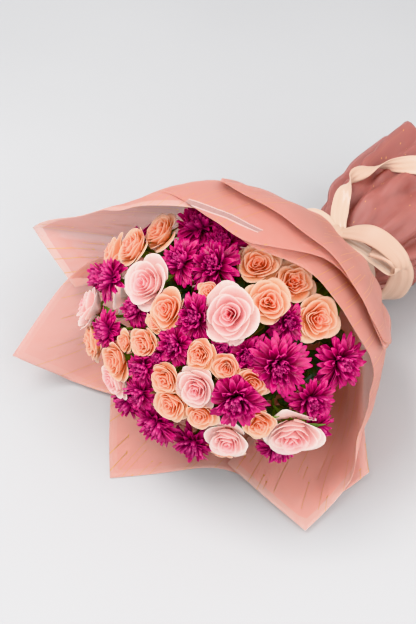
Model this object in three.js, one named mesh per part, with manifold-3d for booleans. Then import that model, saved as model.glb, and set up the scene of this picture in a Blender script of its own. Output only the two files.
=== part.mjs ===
// A mixed flower bouquet, lying down in its wrapping film and tied with a satin ribbon.
//
// Millimetres, +Z up. The flowers face -Y, the stems run towards +Y and X goes across.
// The bouquet lies on the plane Z = 0. The origin is the point of that plane under the
// middle of the flowers.

import * as THREE from "three";
import { mergeVertices } from "three/addons/utils/BufferGeometryUtils.js";
import Module from "manifold-3d";

const wasm = await Module();
wasm.setup();

// ---------------------------------------------------------------- driving dimensions

const GAP = 0.3; // between pieces that touch on the real bouquet

// The flower heads stand on a dome. These are the half axes of the surface through their middles.
const dome = { centre: new THREE.Vector3(0, 0, 147), half: new THREE.Vector3(157, 130, 122) };
const facingFocus = new THREE.Vector3(0, 70, 118); // the heads look away from this point

// The tie, where stems and film are gathered. Its axis is level, and from its front edge
// the axis of the bouquet climbs to the middle of the mouth of the film, above the origin.
const mouthZ = 140;
const tie = { y: 225, z: 82, width: 38, inner: 38.2, outer: 41.4 };
const shoulderY = tie.y - tie.width / 2;
const heelY = tie.y + tie.width / 2;

// The film: one curved shell that every sheet follows, a layer further out for each sheet.
const film = {
  thickness: 1.2,
  pitch: 2, // from one layer to the next at the tie
  mouthPitch: 3.2, // the same at the mouth
  tableLayer: 1, // the layer that lies on the table
  tablePitch: 5, // from that layer to the one that lies on it
  tieRadius: 42,
  mouthRadius: 182,
  mouthSwell: 2.5, // how quickly the shell opens from the tie to the mouth
  endY: 438,
  endRadius: 86,
  endSwell: 2.6, // how quickly it opens from the tie to the stem end
  endFolds: 6,
  endFoldDepth: 6,
  columnStep: 15, // degrees between the columns of a sheet
  freeY: 128, // in front of this the sheets part from the common shell
};

// The stems stand in three rings at the tie, and one stem of each ring in every sector
// of the bundle is grafted to its neighbour, which makes a spray.
const stem = {
  sectors: 6,
  rings: [12, 22, 32],
  radius: 5.6,
  sides: 5,
  forkY: [12, 34, 74],
  forkRadius: [26, 66, 96],
  cutY: [418, 408, 398],
  cutSpread: 1.3, // how much further apart the stems are at their cut ends than at the tie
};
const branch = {
  radius: 2,
  sides: 4,
  calyxRadius: 5.5,
  calyxHeight: 11,
  firstRoot: 5, // from the tip of the main stem to the first side shoot
  rootStep: 11,
};
const leaf = { length: 44, width: 25, thickness: 0.9, teeth: 2 };

const ribbon = { width: 38, thickness: 1.2, inner: 49.8 };

// ---------------------------------------------------------------- solids

// A closed geometry becomes a solid that can be cut and joined.
function solidOf(geometry, matrix = new THREE.Matrix4()) {
  const bare = new THREE.BufferGeometry();
  bare.setAttribute("position", geometry.getAttribute("position").clone());
  bare.setIndex(geometry.getIndex());
  const merged = mergeVertices(bare.applyMatrix4(matrix));
  const corners = merged.getIndex().array;
  const triangles = [];
  for (let i = 0; i < corners.length; i += 3) {
    const [a, b, c] = corners.slice(i, i + 3);
    if (a !== b && b !== c && c !== a) triangles.push(a, b, c);
  }
  const mesh = new wasm.Mesh({
    numProp: 3,
    vertProperties: new Float32Array(merged.getAttribute("position").array),
    triVerts: new Uint32Array(triangles),
  });
  return new wasm.Manifold(mesh);
}

function geometryOf(solid) {
  const mesh = solid.getMesh();
  const geometry = new THREE.BufferGeometry();
  geometry.setAttribute("position", new THREE.BufferAttribute(mesh.vertProperties, mesh.numProp));
  geometry.setIndex(new THREE.BufferAttribute(mesh.triVerts, 1));
  geometry.computeVertexNormals();
  return geometry;
}

const joined = (solids) => solids.reduce((all, solid) => all.add(solid));

// The largest body of a solid: a cut can leave a loose scrap of petal.
function largestBody(solid) {
  const bodies = solid.decompose();
  return bodies.reduce((best, body) => (body.volume() > best.volume() ? body : best));
}

// A big block whose one face is the plane through a point, and which fills the side that
// the normal points to.
function halfSpace(point, normal) {
  const size = 900;
  const turn = new THREE.Quaternion().setFromUnitVectors(new THREE.Vector3(0, 0, 1), normal);
  const centre = point.clone().addScaledVector(normal, size / 2);
  const matrix = new THREE.Matrix4().compose(centre, turn, new THREE.Vector3(1, 1, 1));
  return solidOf(new THREE.BoxGeometry(size, size, size), matrix);
}

// ---------------------------------------------------------------- the photograph's view

// Each visible head is placed by the pixel of its middle in the 416 x 624 photograph.
const photo = {
  middleColumn: 208,
  middleRow: 312,
  focalPixels: 1040,
  distance: 1200,
  azimuth: THREE.MathUtils.degToRad(42),
  elevation: THREE.MathUtils.degToRad(47),
  aim: new THREE.Vector3(-24, 4, 159),
};
photo.back = new THREE.Vector3(
  Math.sin(photo.azimuth) * Math.cos(photo.elevation),
  -Math.cos(photo.azimuth) * Math.cos(photo.elevation),
  Math.sin(photo.elevation),
);
photo.right = new THREE.Vector3(Math.cos(photo.azimuth), Math.sin(photo.azimuth), 0);
photo.up = photo.back.clone().cross(photo.right);
photo.eye = photo.aim.clone().addScaledVector(photo.back, photo.distance);

// Where the line of sight through a pixel meets the dome, scaled by level. A line that
// passes the dome gives the dome's nearest point.
function onDome([column, row], level = 1) {
  const sight = photo.back
    .clone()
    .negate()
    .addScaledVector(photo.right, (column - photo.middleColumn) / photo.focalPixels)
    .addScaledVector(photo.up, (photo.middleRow - row) / photo.focalPixels);
  const half = dome.half.clone().multiplyScalar(level);
  const start = photo.eye.clone().sub(dome.centre).divide(half);
  const step = sight.clone().divide(half);
  const a = step.dot(step);
  const b = start.dot(step);
  const c = start.dot(start) - 1;
  const reach = Math.max(b * b - a * c, 0);
  const unit = start.addScaledVector(step, (-b - Math.sqrt(reach)) / a).normalize();
  return unit.multiply(half).add(dome.centre);
}

// ---------------------------------------------------------------- forms of the heads

// A head is a turned form whose radius and height wave once for each petal. Each row is
// { r, z, dr, dz, turn }: its radius and height, how far they wave, and half turns of the wave.
// The form has a radius of 1 and faces +Z.
function headGeometry({ rows, petals, segments }) {
  const profile = rows.map((row) => new THREE.Vector2(row.r, row.z));
  const geometry = new THREE.LatheGeometry(profile, segments);
  const position = geometry.getAttribute("position");
  for (let i = 0; i < position.count; i++) {
    const { r, z, dr = 0, dz = 0, turn = 0 } = rows[i % rows.length];
    const angle = ((Math.floor(i / rows.length) % segments) / segments) * 2 * Math.PI;
    const wave = Math.cos(petals * angle + turn * Math.PI);
    const radius = r + dr * wave;
    position.setXYZ(i, radius * Math.sin(angle), z + dz * wave, radius * Math.cos(angle));
  }
  return geometry.rotateX(Math.PI / 2);
}

// Three whorls of long pointed petals round a small eye.
const chrysanthemum = {
  colour: 0x9b0f6b,
  roughness: 0.6,
  petals: 8,
  segments: 16,
  back: 0.38,
  rows: [
    { r: 0, z: -0.38 },
    { r: 0.75, z: -0.02, dr: 0.25, dz: -0.02 },
    { r: 0.42, z: 0.1 },
    { r: 0.62, z: 0.24, dr: 0.22, dz: 0.05, turn: 1 },
    { r: 0.33, z: 0.22 },
    { r: 0.38, z: 0.42, dr: 0.12, dz: 0.07 },
    { r: 0, z: 0.3 },
  ],
};

// The same flower with two whorls, for the small and the half hidden ones.
const smallChrysanthemum = {
  ...chrysanthemum,
  rows: [
    { r: 0, z: -0.38 },
    { r: 0.75, z: 0, dr: 0.25, dz: -0.02 },
    { r: 0.4, z: 0.12 },
    { r: 0.5, z: 0.34, dr: 0.18, dz: 0.06, turn: 1 },
    { r: 0, z: 0.24 },
  ],
};

// Three nested cups of broad petals round a rolled heart.
const gardenRose = {
  colour: 0xf3b6bf,
  roughness: 0.55,
  petals: 4,
  segments: 12,
  back: 0.62,
  rows: [
    { r: 0, z: -0.62 },
    { r: 0.72, z: -0.3 },
    { r: 0.93, z: 0.08, dr: 0.07, dz: 0.06 },
    { r: 0.66, z: 0 },
    { r: 0.7, z: 0.3, dr: 0.05, dz: 0.05, turn: 1 },
    { r: 0.44, z: 0.12 },
    { r: 0.42, z: 0.44, dr: 0.04, dz: 0.04 },
    { r: 0.2, z: 0.26 },
    { r: 0, z: 0.42 },
  ],
};

// Two nested cups round a rolled heart.
const sprayRose = {
  colour: 0xf2a98a,
  roughness: 0.55,
  petals: 5,
  segments: 10,
  back: 0.6,
  rows: [
    { r: 0, z: -0.6 },
    { r: 0.62, z: -0.4 },
    { r: 0.93, z: 0.08, dr: 0.07, dz: 0.06 },
    { r: 0.62, z: 0.04 },
    { r: 0.56, z: 0.38, dr: 0.05, dz: 0.05, turn: 1 },
    { r: 0.28, z: 0.2 },
    { r: 0, z: 0.44 },
  ],
};

// ---------------------------------------------------------------- the heads and their places

// node, form, middle in the photograph as [column, row], diameter, and where it matters the
// level on the dome (1 is the common surface) and the way the head faces. Heads of one kind
// that grow against each other share a node.
const heads = [
  { node: "chrysanthemum_01", form: chrysanthemum, seen: [202, 227], across: 72 },
  { node: "chrysanthemum_01", form: smallChrysanthemum, seen: [225, 244], across: 60, level: 0.96 },
  { node: "chrysanthemum_02", form: chrysanthemum, seen: [215, 266], across: 66 },
  { node: "chrysanthemum_03", form: chrysanthemum, seen: [182, 262], across: 58 },
  { node: "chrysanthemum_04", form: chrysanthemum, seen: [112, 279], across: 56 },
  { node: "chrysanthemum_04", form: smallChrysanthemum, seen: [96, 275], across: 56 },
  { node: "chrysanthemum_05", form: chrysanthemum, seen: [109, 331], across: 52 },
  { node: "chrysanthemum_06", form: smallChrysanthemum, seen: [137, 309], across: 46, level: 0.93 },
  { node: "chrysanthemum_07", form: chrysanthemum, seen: [196, 318], across: 60 },
  { node: "chrysanthemum_08", form: smallChrysanthemum, seen: [226, 346], across: 40, level: 0.94 },
  { node: "chrysanthemum_09", form: chrysanthemum, seen: [176, 345], across: 52 },
  { node: "chrysanthemum_09", form: smallChrysanthemum, seen: [160, 356], across: 36, level: 0.96 },
  { node: "chrysanthemum_09", form: chrysanthemum, seen: [144, 367], across: 48 },
  { node: "chrysanthemum_09", form: smallChrysanthemum, seen: [141, 393], across: 48 },
  { node: "chrysanthemum_10", form: chrysanthemum, seen: [119, 408], across: 56 },
  { node: "chrysanthemum_11", form: chrysanthemum, seen: [157, 421], across: 60 },
  { node: "chrysanthemum_12", form: chrysanthemum, seen: [192, 449], across: 58 },
  { node: "chrysanthemum_13", form: chrysanthemum, seen: [236, 400], across: 68, level: 1.04 },
  { node: "chrysanthemum_08", form: chrysanthemum, seen: [278, 366], across: 68, level: 1.03 },
  { node: "chrysanthemum_08", form: smallChrysanthemum, seen: [248, 355], across: 48, level: 0.95 },
  { node: "chrysanthemum_14", form: chrysanthemum, seen: [340, 362], across: 66 },
  { node: "chrysanthemum_15", form: chrysanthemum, seen: [311, 400], across: 56 },
  { node: "chrysanthemum_16", form: smallChrysanthemum, seen: [287, 322], across: 48, level: 0.94 },
  { node: "chrysanthemum_17", form: chrysanthemum, seen: [332, 446], across: 54, faces: [0.9, -0.2, -0.1] },
  { node: "chrysanthemum_18", form: chrysanthemum, seen: [280, 450], across: 54 },
  { node: "rose_01", form: gardenRose, seen: [231, 316], across: 66, level: 1.04 },
  { node: "rose_02", form: gardenRose, seen: [148, 282], across: 60, level: 1.03 },
  { node: "rose_03", form: gardenRose, seen: [85, 307], across: 48, faces: [-0.9, -0.35, 0.2] },
  { node: "rose_04", form: gardenRose, seen: [197, 389], across: 52 },
  { node: "rose_05", form: gardenRose, seen: [227, 440], across: 54 },
  { node: "rose_06", form: gardenRose, seen: [293, 433], across: 60, faces: [0.35, -0.8, -0.35] },
  { node: "rose_07", form: gardenRose, seen: [114, 381], across: 46 },
  { node: "spray_rose_01", form: sprayRose, seen: [109, 250], across: 46 },
  { node: "spray_rose_01", form: sprayRose, seen: [132, 246], across: 48 },
  { node: "spray_rose_02", form: sprayRose, seen: [161, 234], across: 48 },
  { node: "spray_rose_03", form: sprayRose, seen: [169, 308], across: 42 },
  { node: "spray_rose_03", form: sprayRose, seen: [156, 323], across: 28 },
  { node: "spray_rose_03", form: sprayRose, seen: [144, 343], across: 42 },
  { node: "spray_rose_03", form: sprayRose, seen: [125, 342], across: 26 },
  { node: "spray_rose_04", form: sprayRose, seen: [88, 342], across: 40 },
  { node: "spray_rose_05", form: sprayRose, seen: [116, 361], across: 42 },
  { node: "spray_rose_06", form: sprayRose, seen: [200, 355], across: 38 },
  { node: "spray_rose_06", form: sprayRose, seen: [226, 367], across: 36, level: 0.98 },
  { node: "spray_rose_07", form: sprayRose, seen: [165, 379], across: 42 },
  { node: "spray_rose_07", form: sprayRose, seen: [172, 404], across: 46 },
  { node: "spray_rose_07", form: sprayRose, seen: [201, 414], across: 40 },
  { node: "spray_rose_08", form: sprayRose, seen: [209, 292], across: 28 },
  { node: "spray_rose_09", form: sprayRose, seen: [258, 265], across: 46 },
  { node: "spray_rose_10", form: sprayRose, seen: [268, 302], across: 50 },
  { node: "spray_rose_11", form: sprayRose, seen: [294, 283], across: 50 },
  { node: "spray_rose_12", form: sprayRose, seen: [318, 319], across: 52 },
  { node: "spray_rose_13", form: sprayRose, seen: [253, 382], across: 42, level: 0.98 },
  { node: "spray_rose_14", form: sprayRose, seen: [259, 423], across: 42 },
  // Heads on the side that the photograph doesn't show, by their direction from the dome's centre.
  { node: "chrysanthemum_19", form: chrysanthemum, towards: [-0.95, 0.16, 0.22], across: 58 },
  { node: "chrysanthemum_20", form: chrysanthemum, towards: [-0.72, -0.42, -0.55], across: 60 },
  { node: "rose_08", form: gardenRose, towards: [-0.92, -0.1, -0.28], across: 52 },
  { node: "chrysanthemum_21", form: chrysanthemum, towards: [0.02, -0.78, -0.62], across: 58 },
  { node: "spray_rose_15", form: sprayRose, towards: [-0.4, -0.66, -0.64], across: 46 },
  { node: "spray_rose_16", form: sprayRose, towards: [0.45, -0.6, -0.66], across: 46 },
];

function placeHead(head) {
  const radius = head.across / 2;
  const centre = head.seen
    ? onDome(head.seen, head.level)
    : new THREE.Vector3(...head.towards).normalize().multiply(dome.half).add(dome.centre);
  const facing = head.faces
    ? new THREE.Vector3(...head.faces).normalize()
    : centre.clone().sub(facingFocus).normalize();
  const turn = new THREE.Quaternion().setFromUnitVectors(new THREE.Vector3(0, 0, 1), facing);
  const scale = new THREE.Vector3(radius, radius, radius);
  const matrix = new THREE.Matrix4().compose(centre, turn, scale);
  const back = centre.clone().addScaledVector(facing, -head.form.back * radius);
  return { ...head, radius, centre, facing, back, solid: solidOf(headGeometry(head.form), matrix) };
}

// Two heads that press together part along a plane between them, nearer to the smaller one.
function partHeads(placed) {
  for (let i = 0; i < placed.length; i++) {
    for (let j = i + 1; j < placed.length; j++) {
      const [a, b] = [placed[i], placed[j]];
      const between = b.centre.clone().sub(a.centre);
      const distance = between.length();
      if (a.node === b.node || distance > a.radius + b.radius) continue;
      if (a.solid.intersect(b.solid).isEmpty()) continue;
      const fromA = distance / 2 + (a.radius ** 2 - b.radius ** 2) / (2 * distance);
      between.normalize();
      const cutA = a.centre.clone().addScaledVector(between, fromA - GAP / 2);
      const cutB = a.centre.clone().addScaledVector(between, fromA + GAP / 2);
      a.solid = a.solid.subtract(halfSpace(cutA, between));
      b.solid = b.solid.subtract(halfSpace(cutB, between.clone().negate()));
    }
  }
  for (const head of placed) head.solid = largestBody(head.solid);
}

const placedHeads = heads.map(placeHead);
partHeads(placedHeads);

// ---------------------------------------------------------------- stems, branches and leaves

// The height of the bouquet's axis at a distance along Y.
function axisHeight(y) {
  const rise = THREE.MathUtils.clamp((shoulderY - y) / shoulderY, 0, 1);
  return THREE.MathUtils.lerp(tie.z, mouthZ, rise);
}

// A point at an angle and a radius round the axis. 0 degrees is +X and 90 degrees is up.
function aroundAxis(degrees, y, radius) {
  const angle = THREE.MathUtils.degToRad(degrees);
  return new THREE.Vector3(radius * Math.cos(angle), y, axisHeight(y) + radius * Math.sin(angle));
}

// A main stem through points that follow one another towards the flowers. Every section of it
// is square to Y, with a corner that points away from the axis.
function bentStem(points, middle) {
  const bends = points.length - 1;
  const geometry = new THREE.CylinderGeometry(stem.radius, stem.radius, 1, stem.sides, bends);
  geometry.rotateY(THREE.MathUtils.degToRad(90 - middle));
  const position = geometry.getAttribute("position");
  for (let i = 0; i < position.count; i++) {
    const { x, y, z } = points[Math.round((0.5 - position.getY(i)) * bends)];
    position.setXYZ(i, x + position.getX(i), y, z + position.getZ(i));
  }
  return solidOf(geometry);
}

// A turned form between two points, from [radius, distance from the start] pairs.
function turnedBetween(start, end, profile, sides) {
  const direction = end.clone().sub(start).normalize();
  const turn = new THREE.Quaternion().setFromUnitVectors(new THREE.Vector3(0, 1, 0), direction);
  const matrix = new THREE.Matrix4().compose(start, turn, new THREE.Vector3(1, 1, 1));
  const points = profile.map(([radius, along]) => new THREE.Vector2(radius, along));
  return solidOf(new THREE.LatheGeometry(points, sides), matrix);
}

// A branch starts inside its stem and ends in the calyx, just behind the head. Where it meets
// the head at a slant it ends earlier, so that the calyx's rim clears the head's sloping back.
function branchTo(head, root) {
  const [pole, firstRow] = head.form.rows;
  const reach = firstRow.r + (firstRow.dr ?? 0);
  const slope = (firstRow.z + (firstRow.dz ?? 0) - pole.z) / reach;
  const tilt = head.back.clone().sub(root).angleTo(head.facing);
  const rise = branch.calyxRadius * (Math.sin(tilt) - slope * Math.cos(tilt));
  const clear = (Math.max(rise, 0) + GAP) / (Math.cos(tilt) + slope * Math.sin(tilt));
  const length = head.back.distanceTo(root) - clear;
  const profile = [
    [0, 0],
    [branch.radius, 0],
    [branch.radius, length - branch.calyxHeight],
    [branch.calyxRadius, length],
    [0, length],
  ];
  return turnedBetween(root, head.back, profile, branch.sides);
}

// A toothed leaf blade in the XY plane, its base at the origin and its tip on +Y.
function leafGeometry() {
  const outline = [new THREE.Vector2(0, 0)];
  for (const side of [1, -1]) {
    const edge = [];
    for (let i = 1; i <= leaf.teeth; i++) {
      const along = i / (leaf.teeth + 1);
      const half = (leaf.width / 2) * Math.sin(Math.PI * along ** 0.8);
      edge.push(new THREE.Vector2(side * half * 0.82, leaf.length * (along - 0.05)));
      edge.push(new THREE.Vector2(side * half, leaf.length * (along + 0.04)));
    }
    if (side === 1) outline.push(...edge, new THREE.Vector2(0, leaf.length));
    else outline.push(...edge.reverse());
  }
  const settings = { depth: leaf.thickness, bevelEnabled: false };
  return new THREE.ExtrudeGeometry(new THREE.Shape(outline), settings);
}

// Leaves under the heads: the pixel or the direction of the base, and roughly the way the tip
// points. Each blade lies along the dome at a common depth.
const leafLevel = 0.79;
const leaves = [
  { seen: [246, 283], tip: [0.3, 0.4, 0.6] },
  { seen: [306, 350], tip: [0.9, -0.1, -0.3] },
  { seen: [318, 336], tip: [0.8, 0.6, -0.2] },
  { seen: [318, 386], tip: [0.6, 0.2, -0.8] },
  { seen: [230, 386], tip: [0.6, -0.3, -0.6] },
  { seen: [96, 326], tip: [-0.5, -0.5, -0.3] },
  { seen: [190, 290], tip: [-0.6, -0.2, 0.4] },
  { towards: [-0.8, 0.3, -0.5], tip: [-0.2, 0.7, -0.3] },
  { towards: [-0.7, 0.5, 0.4], tip: [-0.3, 0.6, 0.2] },
  { towards: [0.6, 0.45, -0.55], tip: [0.5, 0.7, -0.1] },
];

function placeLeaf({ seen, towards, tip }) {
  const base = seen
    ? onDome(seen, leafLevel)
    : new THREE.Vector3(...towards).normalize().multiply(dome.half).multiplyScalar(leafLevel).add(dome.centre);
  const outwards = base.clone().sub(facingFocus).normalize();
  const along = new THREE.Vector3(...tip).projectOnPlane(outwards).normalize();
  const across = along.clone().cross(outwards);
  const matrix = new THREE.Matrix4().makeBasis(across, along, outwards).setPosition(base);
  return { base, solid: solidOf(leafGeometry(), matrix) };
}

const placedLeaves = leaves.map(placeLeaf);

// The sector that a point is in.
function sectorOf({ x, y, z }) {
  const degrees = THREE.MathUtils.radToDeg(Math.atan2(z - axisHeight(y), x)) + 360;
  return Math.floor((degrees % 360) / (360 / stem.sectors));
}

const middleOf = (sector) => ((sector + 0.5) * 360) / stem.sectors;

// A main stem's bends, from the cut end through the tie to its tip among the heads.
function mainStem(sector, ring) {
  const middle = middleOf(sector);
  return {
    cut: aroundAxis(middle, stem.cutY[ring], stem.rings[ring] * stem.cutSpread),
    atTie: aroundAxis(middle, tie.y, stem.rings[ring]),
    atShoulder: aroundAxis(middle, shoulderY, stem.rings[ring]),
    tip: aroundAxis(middle, stem.forkY[ring], stem.forkRadius[ring]),
  };
}

// What a sector's branches may fill: the wedge between its two planes through the axis.
function trimToWedge(solid, sector) {
  const front = new THREE.Vector3(0, 0, mouthZ);
  const axis = new THREE.Vector3(0, shoulderY, tie.z - mouthZ).normalize();
  for (const [edge, side] of [[sector, -1], [sector + 1, 1]]) {
    const angle = (edge * 2 * Math.PI) / stem.sectors;
    const spoke = new THREE.Vector3(Math.cos(angle), 0, Math.sin(angle));
    const normal = spoke.cross(axis).normalize().multiplyScalar(side);
    solid = solid.subtract(halfSpace(front.clone().addScaledVector(normal, -GAP / 2), normal));
  }
  return solid;
}

// Side shoots leave the nearest main stem one after another, the first next to its tip.
function shootRoots(ends, mains) {
  const taken = mains.map(() => 0);
  return ends.map((end) => {
    const distances = mains.map(({ tip }) => tip.distanceTo(end));
    const nearest = distances.indexOf(Math.min(...distances));
    const { tip, atShoulder } = mains[nearest];
    const along = branch.firstRoot + branch.rootStep * taken[nearest]++;
    return tip.clone().addScaledVector(atShoulder.clone().sub(tip).normalize(), along);
  });
}

function stalkTo(base, root) {
  const length = base.distanceTo(root);
  const profile = [[0, 0], [branch.radius, 0], [branch.radius * 0.6, length + 1], [0, length + 1]];
  return turnedBetween(root, base, profile, branch.sides);
}

function spraySolid(sector) {
  const mains = stem.rings.map((_, ring) => mainStem(sector, ring));
  const stalks = mains.map(({ cut, atTie, atShoulder, tip }) =>
    bentStem([cut, atTie, atShoulder, tip], middleOf(sector)));
  const ownHeads = placedHeads.filter((head) => sectorOf(head.back) === sector);
  const ownLeaves = placedLeaves.filter(({ base }) => sectorOf(base) === sector);
  const ends = [...ownHeads.map((head) => head.back), ...ownLeaves.map(({ base }) => base)];
  const roots = shootRoots(ends, mains);
  const branches = ownHeads.map((head, i) => branchTo(head, roots[i]));
  const leafy = ownLeaves.flatMap(({ base, solid }, i) => [solid, stalkTo(base, roots[ownHeads.length + i])]);
  const shoots = trimToWedge(joined([...branches, ...leafy]), sector);
  return largestBody(shoots.add(joined(stalks)));
}

// ---------------------------------------------------------------- the wrapping film

// The radius of a layer's inner face round the axis.
function shellRadius(y, layer) {
  if (y <= shoulderY) {
    const opened = 1 - (1 - Math.min((shoulderY - y) / shoulderY, 1)) ** film.mouthSwell;
    const pitch = THREE.MathUtils.lerp(film.pitch, film.mouthPitch, opened);
    return THREE.MathUtils.lerp(film.tieRadius, film.mouthRadius, opened) + layer * pitch;
  }
  const opened = 1 - (1 - Math.max((y - heelY) / (film.endY - heelY), 0)) ** film.endSwell;
  return THREE.MathUtils.lerp(film.tieRadius, film.endRadius, opened) + layer * film.pitch;
}

// Folds that every layer shares, from the tie to the stem end.
function foldDepth(degrees, y) {
  const opened = THREE.MathUtils.smoothstep(y, heelY, film.endY);
  return film.endFoldDepth * opened * Math.cos(THREE.MathUtils.degToRad(film.endFolds * degrees));
}

// Rows that every sheet shares, from the stem end to where the sheets part.
const sharedRows = [film.endY, 360, 292, heelY, shoulderY, 190, 165, film.freeY];
const freeRows = 3;

// A sheet: its layer, and for each column the angle, the distance along Y and the radius
// that its front edge reaches.
const sheets = [
  {
    name: "film_front_inner",
    layer: 0,
    firstColumn: -75,
    edge: [
      [-70, -58, 184], [-50, -64, 196], [-36.4, -68, 235], [-31, 8, 226], [-18, 36, 186],
      [1, 44, 180], [15, 53, 178], [30, 42, 180], [45, 34, 181], [60, 23, 182], [75, -8, 182],
      [90, -4, 181], [105, 6, 175], [120, 16, 174],
    ],
  },
  {
    name: "film_left_upper",
    layer: 1,
    firstColumn: 90,
    edge: [
      [92, 2, 182], [105, -9, 180], [120, -26, 180], [137, -22, 180], [153, -10, 192],
      [170, -8, 233], [184, -10, 316], [189, -40, 210],
    ],
  },
  {
    name: "film_front_middle",
    layer: 2,
    firstColumn: 0,
    edge: [
      [6, 62, 179], [18, 68, 178.5], [30, 71, 178.5], [45, 71, 178.8], [60, 53, 184.5],
      [75, -9, 188.5], [90, -16, 188.5], [105, -5, 186], [119, 4, 184.5], [134, 4, 184.5],
    ],
  },
  {
    name: "film_front_outer",
    layer: 3,
    firstColumn: 15,
    edge: [
      [22, 62, 184.5], [31, 66, 184.5], [45, 67, 184.5], [60, 67, 185.5], [75, 55, 188],
      [90, 43, 190], [104, 55, 189], [119, 96, 170.5], [134, 104, 168], [148, 106, 167],
    ],
  },
  {
    name: "film_left_lower",
    layer: 0,
    firstColumn: 195,
    edge: [
      [192, -62, 236], [200.2, -144, 231], [217, -100, 214], [229, -85, 208], [250, -60, 200],
      [268, -50, 200],
    ],
  },
  {
    name: "film_under",
    layer: 1,
    firstColumn: 210,
    edge: [
      [212, -20, 224], [226, -50, 222], [236, -76, 212], [262, -164, 210], [272, -123, 205],
      [285, -70, 205], [299, -50, 226], [314, -30, 240], [330, 40, 230],
    ],
  },
];

// A box geometry splits the squares of its back the other way from those of its front. In a
// thin warped sheet the two must match, or one face would come through the other.
function splitAlike(geometry) {
  const index = geometry.getIndex();
  const back = geometry.groups[5];
  for (let i = back.start; i < back.start + back.count; i += 6) {
    const [a, b, d, , c] = index.array.slice(i, i + 6);
    index.array.set([a, b, c, a, c, d], i);
  }
}

function sheetSolid({ layer, firstColumn, edge }) {
  const columns = edge.length - 1;
  const rows = sharedRows.length - 1 + freeRows;
  const geometry = new THREE.BoxGeometry(1, 1, 1, columns, rows, 1);
  splitAlike(geometry);
  const position = geometry.getAttribute("position");
  for (let i = 0; i < position.count; i++) {
    const column = Math.round((position.getX(i) + 0.5) * columns);
    const row = Math.round((position.getY(i) + 0.5) * rows);
    const outside = position.getZ(i) > 0 ? 1 : 0;
    const [edgeAngle, edgeY, edgeRadius] = edge[column];
    const freeRow = Math.max(row - (sharedRows.length - 1), 0) / freeRows;
    const y = freeRow > 0 ? THREE.MathUtils.lerp(film.freeY, edgeY, freeRow) : sharedRows[row];
    const columnAngle = firstColumn + column * film.columnStep;
    const degrees = THREE.MathUtils.lerp(columnAngle, edgeAngle, freeRow ** 2);
    const flare = (edgeRadius - shellRadius(edgeY, layer)) * freeRow ** 2;
    const radius = shellRadius(y, layer) + flare + foldDepth(degrees, y) + outside * film.thickness;
    const point = aroundAxis(degrees, y, radius);
    const bed = (film.tableLayer - layer) * film.tablePitch + (1 - outside) * film.thickness;
    position.setXYZ(i, point.x, point.y, Math.max(point.z, bed));
  }
  return solidOf(geometry);
}

// ---------------------------------------------------------------- the tie and the ribbon

// A ring of square section round the tie's axis.
function tieRing(inner, outer, width) {
  const half = width / 2;
  const section = [[inner, -half], [outer, -half], [outer, half], [inner, half], [inner, -half]];
  const sides = 360 / film.columnStep;
  const geometry = new THREE.LatheGeometry(section.map(([r, y]) => new THREE.Vector2(r, y)), sides);
  return solidOf(geometry, new THREE.Matrix4().makeTranslation(0, tie.y, tie.z));
}

// A band of ribbon along a smooth line: [point, direction of the width, share of the full width].
function ribbonStrip(stations, steps) {
  const line = new THREE.CatmullRomCurve3(stations.map(([point]) => new THREE.Vector3(...point)));
  const geometry = new THREE.BoxGeometry(1, 1, 1, steps, 1, 1);
  splitAlike(geometry);
  const position = geometry.getAttribute("position");
  for (let i = 0; i < position.count; i++) {
    const along = position.getX(i) + 0.5;
    const place = along * (stations.length - 1);
    const station = Math.min(Math.floor(place), stations.length - 2);
    const [, before, narrow] = stations[station];
    const [, after, wide] = stations[station + 1];
    const width = new THREE.Vector3(...before).lerp(new THREE.Vector3(...after), place - station);
    const share = THREE.MathUtils.lerp(narrow, wide, place - station);
    const tangent = line.getTangent(along);
    width.addScaledVector(tangent, -width.dot(tangent)).normalize();
    const normal = tangent.clone().cross(width);
    const point = line
      .getPoint(along)
      .addScaledVector(width, position.getY(i) * ribbon.width * share)
      .addScaledVector(normal, position.getZ(i) * ribbon.thickness);
    position.setXYZ(i, point.x, point.y, point.z);
  }
  return solidOf(geometry);
}

const knot = { centre: [-3, 225, 140.8], size: [24, 26, 15] };

const ACROSS = [0, 1, 0]; // a ribbon that lies round the tie has its width along Y

const loopRight = [
  [[-3, 225, 141], ACROSS, 0.5],
  [[24, 224, 155], ACROSS, 0.8],
  [[52, 224, 154], ACROSS, 1],
  [[74, 225, 134], ACROSS, 1],
  [[80, 226, 108], ACROSS, 0.95],
  [[70, 226, 100], ACROSS, 0.9],
  [[58, 225, 118], ACROSS, 0.8],
  [[36, 225, 134], ACROSS, 0.7],
  [[-3, 225, 139], ACROSS, 0.5],
];

const loopLeft = [
  [[-3, 225, 141], ACROSS, 0.5],
  [[-28, 226, 156], ACROSS, 0.8],
  [[-56, 226, 153], ACROSS, 1],
  [[-76, 226, 132], ACROSS, 1],
  [[-80, 226, 106], ACROSS, 0.95],
  [[-70, 226, 98], ACROSS, 0.9],
  [[-60, 225, 116], ACROSS, 0.8],
  [[-38, 225, 134], ACROSS, 0.7],
  [[-3, 225, 139], ACROSS, 0.5],
];

const longEnd = [
  [[-6, 232, 141], [1, 0.1, 0], 0.5],
  [[-20, 246, 148], [0.8, 0.5, 0.2], 0.85],
  [[-34, 262, 156], [0.9, 0.4, -0.1], 0.8],
  [[-40, 280, 165], [0.5, 0.6, 0.6], 0.75],
  [[-30, 300, 172], [-0.3, 0.7, 0.6], 0.8],
  [[-16, 318, 174], [-0.5, 0.8, 0.2], 0.7],
  [[4, 336, 180], [-0.4, 0.8, 0.3], 0.95],
  [[24, 352, 184], [-0.6, 0.7, 0.1], 1],
  [[46, 368, 180], [-0.6, 0.7, 0.2], 1],
];

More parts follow.
